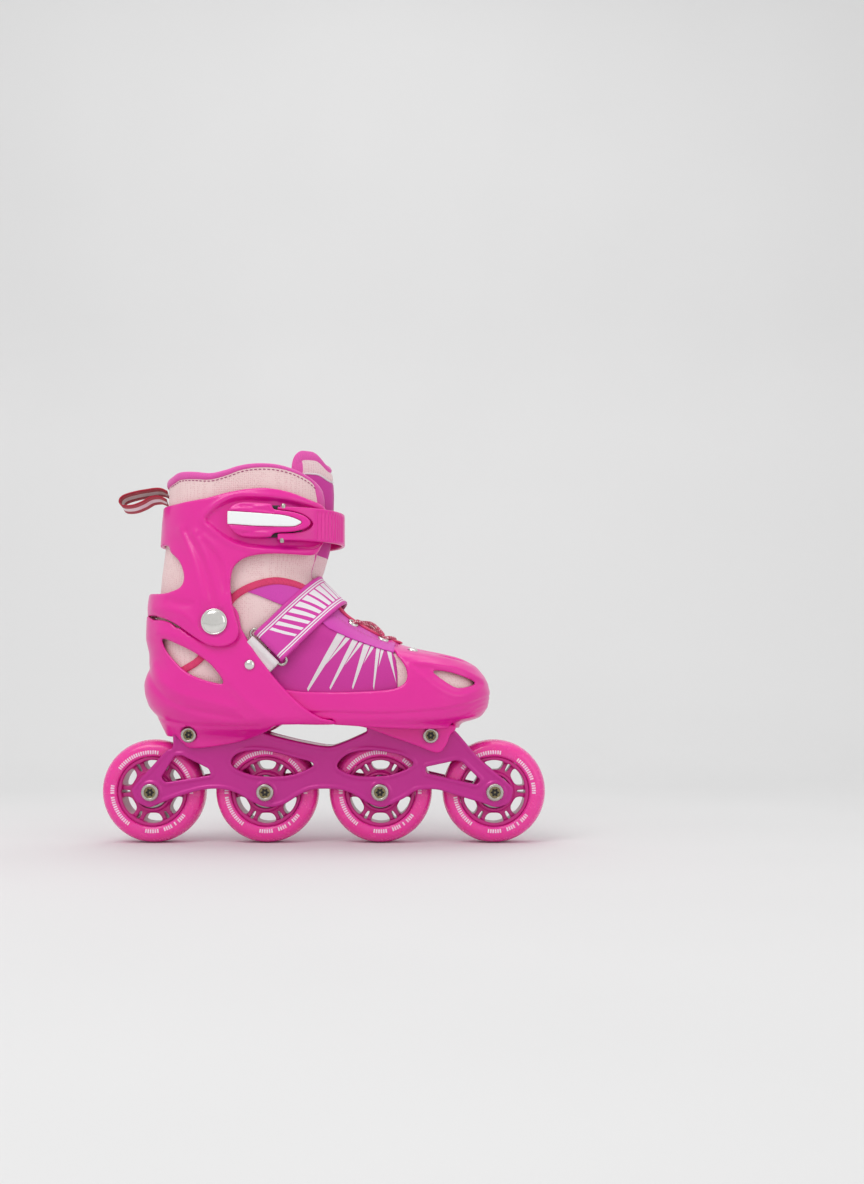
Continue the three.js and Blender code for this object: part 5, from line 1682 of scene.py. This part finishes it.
def tongue():
    path = curve(TONGUE_PATH, False, 12)
    d = distance_along(path)
    total = d[-1]
    rows, cols = 150, 72
    u = np.linspace(0, 1, rows)
    u = 0.5 - 0.5 * np.cos(math.pi * u)  # closer rows near both ends
    at = np.stack([np.interp(u * total, d, path[:, k]) for k in range(2)], -1)
    t = tangents(at)
    n = np.stack([-t[:, 1], t[:, 0]], -1)  # forwards and up
    down = u * total
    half = np.interp(
        down, (0, 6, 20, 45, 77, 92, 104, 131, total), (20, 21, 21, 20, 17.5, 13, 11.6, 11, 10)
    )
    thick = np.interp(
        down, (0, 10, 40, 72, 84, 96, 130, total), (3.4, 4.0, 3.7, 3.0, 2.2, 2.0, 2.0, 1.6)
    )
    bulge = np.interp(down, (0, 20, 78, 92, 104, total), (2.5, 3.5, 3.5, 1.0, 0.4, 0.3))
    # Rounded ends: the section shrinks to a line in the first and last few millimetres.
    close = np.sqrt(
        np.clip(1 - (1 - np.clip(np.minimum(down / 4.0, (total - down) / 3.0), 0, 1)) ** 2, 0, 1)
    )
    bend = np.interp(down, (0, 30, 60, 80, 95, total), (17.0, 17.0, 15.0, 10.0, 4.0, 3.0))
    a = np.arange(cols) * 2 * math.pi / cols
    cx, cy = np.cos(a), np.sin(a)
    y = half[:, None] * np.sign(cx) * np.abs(cx) ** 0.7
    h = (thick * close)[:, None] * np.sign(cy) * np.abs(cy) ** 0.62
    share = (y / 20.0) ** 2
    # Quilting: the pad is thinner along a sewn line inside its rim and along the two top seams.
    rim = np.exp(-(((np.abs(y) - (half[:, None] - 3.4)) / 1.0) ** 2))
    cross = np.exp(-(((down[:, None] - TONGUE["panel"]) / 1.1) ** 2)) + np.exp(
        -(((down[:, None] - TONGUE["binding"]) / 0.9) ** 2)
    )
    h = h * (1 - 0.2 * rim - 0.22 * np.clip(cross, 0, 1))
    shift = h - bend[:, None] * share + np.where(
        cy > 0, bulge[:, None] * np.exp(-((y / 7.5) ** 2)), 0
    )
    # Two ears with a dip between them along the top edge.
    near_top = np.exp(-((down / 16.0) ** 2))[:, None]
    rise = np.clip((np.abs(y) - 3.5) / 9.5, 0, 1)
    ear = near_top * (
        7.4 * rise * rise * (3 - 2 * rise) - 0.35 * np.clip(np.abs(y) - 16.5, 0, 9) ** 2
    )
    x = at[:, 0:1] + n[:, 0:1] * shift - t[:, 0:1] * ear
    z = at[:, 1:2] + n[:, 1:2] * shift - t[:, 1:2] * ear
    z = np.where(z > TONGUE["top"], TONGUE["top"] + 0.15 * (z - TONGUE["top"]), z)
    points = np.stack([x, y, z], -1).reshape(-1, 3)
    faces = tube_faces(rows, cols)
    obj = mesh_object("tongue_pad", points, faces, [MAT["pale"], MAT["binding"], MAT["vamp"]])
    row, col = np.divmod(np.arange((rows - 1) * cols), cols)
    w = (down[row] + down[row + 1]) / 2
    wide = np.abs(y[row, col] + y[row, (col + 1) % cols]) / 2 > half[row] - TONGUE["side"]
    ahead = (cy[col] + cy[(col + 1) % cols]) > 0
    bound = (w < TONGUE["binding"]) | (wide & (w < TONGUE["side_end"]))
    kind = np.where(
        bound, 1, np.where((w > TONGUE["panel"]) & (w < TONGUE["panel_end"]) & ahead, 2, 0)
    )
    obj.data.polygons.foreach_set("material_index", np.concatenate([kind, [1, 0]]).astype(np.int32))
    outward(obj)
    soft_rear(obj, "tongue_fabric", "tongue")
    # White piping is sewn along the top of the magenta panel.
    k = int(np.argmin(np.abs(down - TONGUE["panel"])))
    front = np.nonzero((cy > 0.05) & (np.abs(y[k]) < half[k] - 2.4))[0]
    line = np.stack([x[k, front], y[k, front], z[k, front]], -1) + np.array([0.35, 0, 0])
    soft_rear(
        sweep("tongue_piping", line, round_section(0.6, 8), (1, 0, 0), MAT["ink"]),
        "synthetic_leather"
    )


def over(x, y, h):
    x, y = np.asarray(x, float), np.asarray(y, float)
    p = np.stack([x, y, LINER.top(x, y)], -1)
    return p + LINER.normal(x, y) * np.asarray(h, float)[..., None]


EYELETS = ((19.5, -17), (19.5, 17), (40, -17), (40, 17))


def lacing():
    s = Space((-14, -33, 120), (68, 33, 164), 0.65)
    hull = s.form(LINER)
    outline = s.side(
        [
            (1, 164), (-3, 152), (4.6, 144.6), (9.9, 141.9), (20, 137.4), (35.8, 131.8),
            (44.8, 129), (50.6, 126.8), (51.2, 134), (51.2, 164)
        ]
    )
    panel = both(both(hull - 1.75, -(hull - 0.5), 0.4), outline, 0.5)
    mouth = s.plan(
        curve(
            mirrored([(-20, -12), (10, -11.6), (30, -11), (42, -10), (48.5, -6.4), (50.4, 0)]),
            steps=4
        )
    )
    panel = less(panel, mouth, 0.5)
    toe_room = s.form(TOE) - 0.3
    panel = less(panel, both(toe_room, 48.6 - s.x))
    piece = s.mesh("lace_panel_look", panel, MAT["violet"])
    done(piece, "toe", "synthetic_leather", "lace_panel")
    # Piping round the throat.
    run = curve(
        mirrored([(6, -11.6), (16, -11.4), (30, -11), (42, -10.4), (48.4, -7), (50.6, 0)]), False, 8
    )
    path = over(run[:, 0], run[:, 1], np.full(len(run), 1.8))
    normal = LINER.normal(run[:, 0], run[:, 1])
    piping = sweep(
        "throat_piping", path, strip_section(2.2, 1.0, 0.4, 0.35, 9), normal, MAT["coral"]
    )
    done(piping, "toe", "synthetic_leather")
    for word, inset in (("inner", 9.6), ("outer", 10.8)):
        run = curve(
            [(6, -12.4 - inset), (20, -12 - inset), (34, -11.4 - inset), (46, -10.8 - inset)],
            False, 8
        )
        for side, tag in SIDES:
            path = over(run[:, 0], side * np.abs(run[:, 1]), np.full(len(run), 1.78))
            rows = stitches(
                f"panel_stitches_{word}_{tag}", path,
                LINER.normal(run[:, 0], np.abs(run[:, 1]) * side), MAT["thread_light"], 1.6, 0.8,
                0.2
            )
            done(rows, "toe", "synthetic_leather")
    for k, (x, y) in enumerate(EYELETS):
        p = over(np.array(x), np.array(y), np.array(1.6))
        n = LINER.normal(np.array(float(x)), np.array(float(y)))
        profile = [
            (2.0, -0.6), (2.0, 0.9), (2.2, 1.3), (2.7, 1.5), (3.3, 1.3), (3.8, 0.7), (3.9, 0.2),
            (3.9, 0.0), (3.0, -0.2), (2.9, -0.6), (2.0, -0.6)
        ]
        ring = turned_on(f"eyelet_{k + 1}_look", profile, p, n, MAT["chrome"])
        done(ring, "toe", "rivet_chrome", f"eyelet_{k + 1}")
    # One cord, down into each eyelet: it crosses over the throat and runs straight across below.
    knots = [
        (19.5, -17, 0.6), (19.7, -16.6, 2.6), (21.4, -14.4, 4.0), (25, -9, 3.4), (30, 0, 3.0),
        (35, 9, 3.4), (38.6, 14.6, 3.9), (39.8, 16.6, 2.8),
        (40, 17.2, 0.8), (41.2, 16.2, 2.8), (43.4, 13, 3.6), (46.2, 6, 3.4), (47, 0, 3.2),
        (46.2, -6, 3.4), (43.4, -13, 3.6), (41.2, -16.2, 2.8), (40, -17.2, 0.8),
        (39.8, -16.6, 3.0), (38.4, -14.4, 4.6), (35, -9, 5.2), (30, 0, 5.7), (25, 9, 5.2),
        (21.4, 14.4, 4.6), (19.7, 16.6, 2.6), (19.5, 17, 0.6),
    ]
    line = curve(knots, False, 8)
    path = over(line[:, 0], line[:, 1], line[:, 2])
    cord = sweep("lace_look", path, round_section(1.25, 12), (0.2, 0.1, 1.0), MAT["lace"])
    done(cord, "toe", "lace_cord", "lace")


# ------------------------------------------------------------------ instep strap, ring and tab
STRAP = {"mid": -117.0, "half_width": 13.0, "s0": 66.0, "top": 123.4, "half": 38.8}
RING = {"y": -40.2, "s": 69.4, "half_s": 3.5, "half_n": 15.2, "wire": 1.05}


def tilt(y, s, n):
    """Strap axes to the frame: along Y, up and forward, forward and down."""
    return np.stack(
        [
            (np.asarray(s) + n) / ROOT2, np.asarray(y, float) + 0 * np.asarray(s),
            (np.asarray(s) - n) / ROOT2
        ],
        -1
    )


def strap_arc(grow, turns):
    c, q = np.cos(turns), np.sin(turns)
    y = np.sign(c) * np.abs(c) ** 0.86 * (STRAP["half"] + grow)
    s = STRAP["s0"] + np.abs(q) ** 0.86 * (STRAP["top"] + grow - STRAP["s0"])
    return y, s


def strap():
    lift = 0.5
    turns = np.linspace(math.pi - 0.12, 0.42, 110)
    y, s = strap_arc(lift, turns)
    # The end on the inner side lifts off and stands out a little.
    out = np.clip((0.95 - turns) / 0.55, 0, 1) ** 1.6
    y = y + 8.0 * out
    s = s - 1.0 * out
    curl = [
        (-37.3, 84), (-37.4, 78), (-37.6, 74.6), (-38.3, 72.4), (-39.4, 71.2), (-40.8, 71.3),
        (-41.5, 72.8)
    ]
    head = curve(curl + [(float(y[3]), float(s[3]) + 0.2)], False, 5)[:-1]
    y = np.concatenate([head[:, 0], y[4:]])
    s = np.concatenate([head[:, 1], s[4:]])
    d = np.concatenate([[0], np.cumsum(np.hypot(np.diff(y), np.diff(s)))])
    even = np.linspace(0, d[-1], 240)
    y, s = np.interp(even, d, y), np.interp(even, d, s)
    path = tilt(y, s, STRAP["mid"])
    centre = tilt(np.zeros_like(y), np.full_like(s, 84.0), STRAP["mid"])
    up = path - centre
    t = tangents(path)
    across = (ROOT2 / 2, 0, -ROOT2 / 2)
    normal = np.cross(t, np.broadcast_to(across, t.shape))
    if (normal[150] * up[150]).sum() < 0:
        normal = -normal
    w = STRAP["half_width"]
    base = sweep("instep_strap_base", path, strip_section(w - 0.3, 1.3, 0.4), normal, MAT["thread"])
    edge = [
        (-w, 1.4), (-w + 0.1, 2.2), (-w + 0.9, 2.75), (-w + 2.0, 2.65), (-w + 2.5, 2.2), (-8, 2.15),
        (-4, 2.2), (0, 2.25), (4, 2.2), (8, 2.15),
        (w - 2.5, 2.2), (w - 2.0, 2.65), (w - 0.9, 2.75), (w - 0.1, 2.2), (w, 1.4), (w - 0.4, 1.25),
        (0, 1.25), (-w + 0.4, 1.25),
    ]
    cover = sweep("instep_strap_look", path[:-2], edge, normal[:-2], MAT["strap"])
    for obj in (base, cover):
        taper_end(obj, path[-1], t[-1], 14.0)
    done(base, "chassis", "strap_fabric")
    done(cover, "chassis", "strap_fabric", "instep_strap")
    # The wire ring holds the strap's fold and the white tab.
    ring = []
    for k in range(72):
        a = 2 * math.pi * k / 72
        c, q = (np.sign(v) * abs(v) ** 0.55 for v in (math.cos(a), math.sin(a)))
        ring.append(
            tilt(RING["y"], RING["s"] + RING["half_s"] * c, STRAP["mid"] + RING["half_n"] * q)
        )
    wire = sweep(
        "strap_ring_look", np.array(ring), round_section(RING["wire"], 12), (0, 1, 0), MAT["steel"],
        closed=True
    )
    done(wire, "chassis", "bolt_steel", "strap_ring")
    tab_line = curve(
        [
            (-37.0, 41), (-37.0, 50), (-37.1, 59), (-37.6, 63.4), (-38.5, 65.2), (-39.6, 66.0),
            (-41.3, 66.6), (-42.1, 65.6), (-42.0, 64.2), (-41.0, 62.4), (-40.2, 60), (-39.6, 56),
            (-39.2, 48)
        ],
        False, 5
    )
    tab_path = tilt(tab_line[:, 0], tab_line[:, 1], STRAP["mid"])
    tab = sweep(
        "strap_tab_look", tab_path, strip_section(12.2, 0.8, 0.3),
        np.cross(tangents(tab_path), across), MAT["tab"]
    )
    done(tab, "chassis", "white_webbing", "strap_tab")


def taper_end(obj, tip, direction, reach):
    """Cuts a strap's end to a rounded point."""
    across = np.array((ROOT2 / 2, 0, -ROOT2 / 2))
    middle = np.array(tip)
    for v in obj.data.vertices:
        p = np.array(v.co) / MM
        back = -np.dot(p - middle, direction)
        if back < reach:
            side = float(np.dot(p, across)) - STRAP["mid"]
            keep = 0.30 + 0.70 * math.sqrt(max(0.0, min(1.0, (back + 1.5) / (reach + 1.5))))
            v.co = Vector((p - across * side * (1 - keep)) * MM)


def pull_loop():
    line = curve(
        [
            (-106.6, 236.8), (-109.6, 238.2), (-113, 238.6), (-118, 238), (-127, 236.4),
            (-135.4, 233.8), (-138.0, 230.4), (-136, 227.2), (-129.6, 227.2), (-123, 229.6),
            (-117.6, 232.6), (-112.6, 233.4), (-109.6, 232.6), (-107.2, 231.4),
        ],
        False, 8)
    path = np.stack([line[:, 0], np.zeros(len(line)), line[:, 1]], -1)
    t = tangents(path)
    normal = np.cross(t, (0.0, math.cos(0.2), -math.sin(0.2)))
    obj = sweep(
        "pull_loop_look", path, strip_section(8.3, 1.0, 0.35) - np.array([0, 0.5]), normal,
        MAT["loop"]
    )
    done(obj, "cuff", "loop_webbing", "pull_loop")


# ------------------------------------------------------------------ stage, camera and lights
CAMERA = {"distance": 0.95, "height": 0.1036, "x": 0.068, "lens": 42.3, "shift": (0.0068, 0.0828)}
SKY = 0.73
# Name, place, aim, size in metres, power in watts.
LIGHTS = (
    ("key", (-0.5, -0.9, 1.3), (0, 0, 0.12), 0.8, 6.5),
    ("fill", (1.2, -1.0, 0.6), (0, 0, 0.12), 1.0, 2.1),
    ("top", (0.1, 0.3, 1.6), (0, 0, 0.1), 1.2, 4.9),
)


def stage():
    n = Nodes("backdrop_paper")
    cloud = n.noise(n.coords(), 3, 2)
    # Painted shade: the paper's colour runs from darker on the floor to lighter half a metre up the
    # wall.
    height = n.math("DIVIDE", n.xyz(n.coords())[2], 0.5, clamp=True)
    painted_shade_tone = n.mix(height, srgb(222, 222, 222), srgb(235, 235, 235))
    paper = n.finish(
        Base_Color=n.mix(cloud, painted_shade_tone, srgb(229, 229, 229)), Roughness=0.9, Specular_IOR_Level=0.1
    )
    # Floor and wall in one sheet, joined by a wide cove.
    line = [(-2.4, 0.0), (0.6, 0.0)]
    radius, back = 0.7, 0.6
    line += [
        (
            back + radius * math.sin(a), radius - radius * math.cos(a)
        ) for a in np.linspace(0.06, math.pi / 2, 24)
    ]
    line += [(back + radius, 3.0)]
    points, faces = [], []
    for y, z in line:
        points += [(-3000, y * 1000, z * 1000), (3000, y * 1000, z * 1000)]
    for k in range(len(line) - 1):
        faces.append([2 * k, 2 * k + 1, 2 * k + 3, 2 * k + 2])
    obj = mesh_object("backdrop", np.array(points), faces, paper)


def camera():
    data = bpy.data.cameras.new("camera")
    data.lens = CAMERA["lens"]
    data.sensor_width = 36
    data.clip_start = 0.01
    cam = bpy.data.objects.new("camera", data)
    cam.location = (CAMERA["x"], -CAMERA["distance"], CAMERA["height"])
    cam.rotation_euler = (math.pi / 2, 0, 0)
    data.shift_x, data.shift_y = CAMERA["shift"]
    bpy.context.scene.collection.objects.link(cam)
    bpy.context.scene.camera = cam
    bpy.context.scene.view_settings.view_transform = "Standard"


def light(name, at, aim, size, power):
    data = bpy.data.lights.new(name, "AREA")
    data.shape, data.size, data.energy = "SQUARE", size, power
    obj = bpy.data.objects.new(name, data)
    obj.location = at
    obj.rotation_euler = (Vector(aim) - Vector(at)).to_track_quat("-Z", "Y").to_euler()
    bpy.context.scene.collection.objects.link(obj)


def lights():
    world = bpy.data.worlds.new("studio")
    bpy.context.scene.world = world
    world.use_nodes = True
    sky = world.node_tree.nodes["Background"]
    sky.inputs["Color"].default_value = (1, 1, 1, 1)
    sky.inputs["Strength"].default_value = SKY
    for row in LIGHTS:
        light(*row)


# ------------------------------------------------------------------ the whole scene
camera()
stage()
lights()
wheels()
skate_frame()
boot_bolts()
heel_shell()
toe_shell()
cuff()
rivets()
size_button()
ladder_strap()
for sign, word in SIDES:
    buckle(sign, word)
liner_rear()
liner_front()
rear_trim()
tongue()
lacing()
strap()
pull_loop()
for node, finish_name in NODE_MATERIAL.items():
    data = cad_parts[node].data
    data.materials.clear()
    data.materials.append(MAT[finish_name])
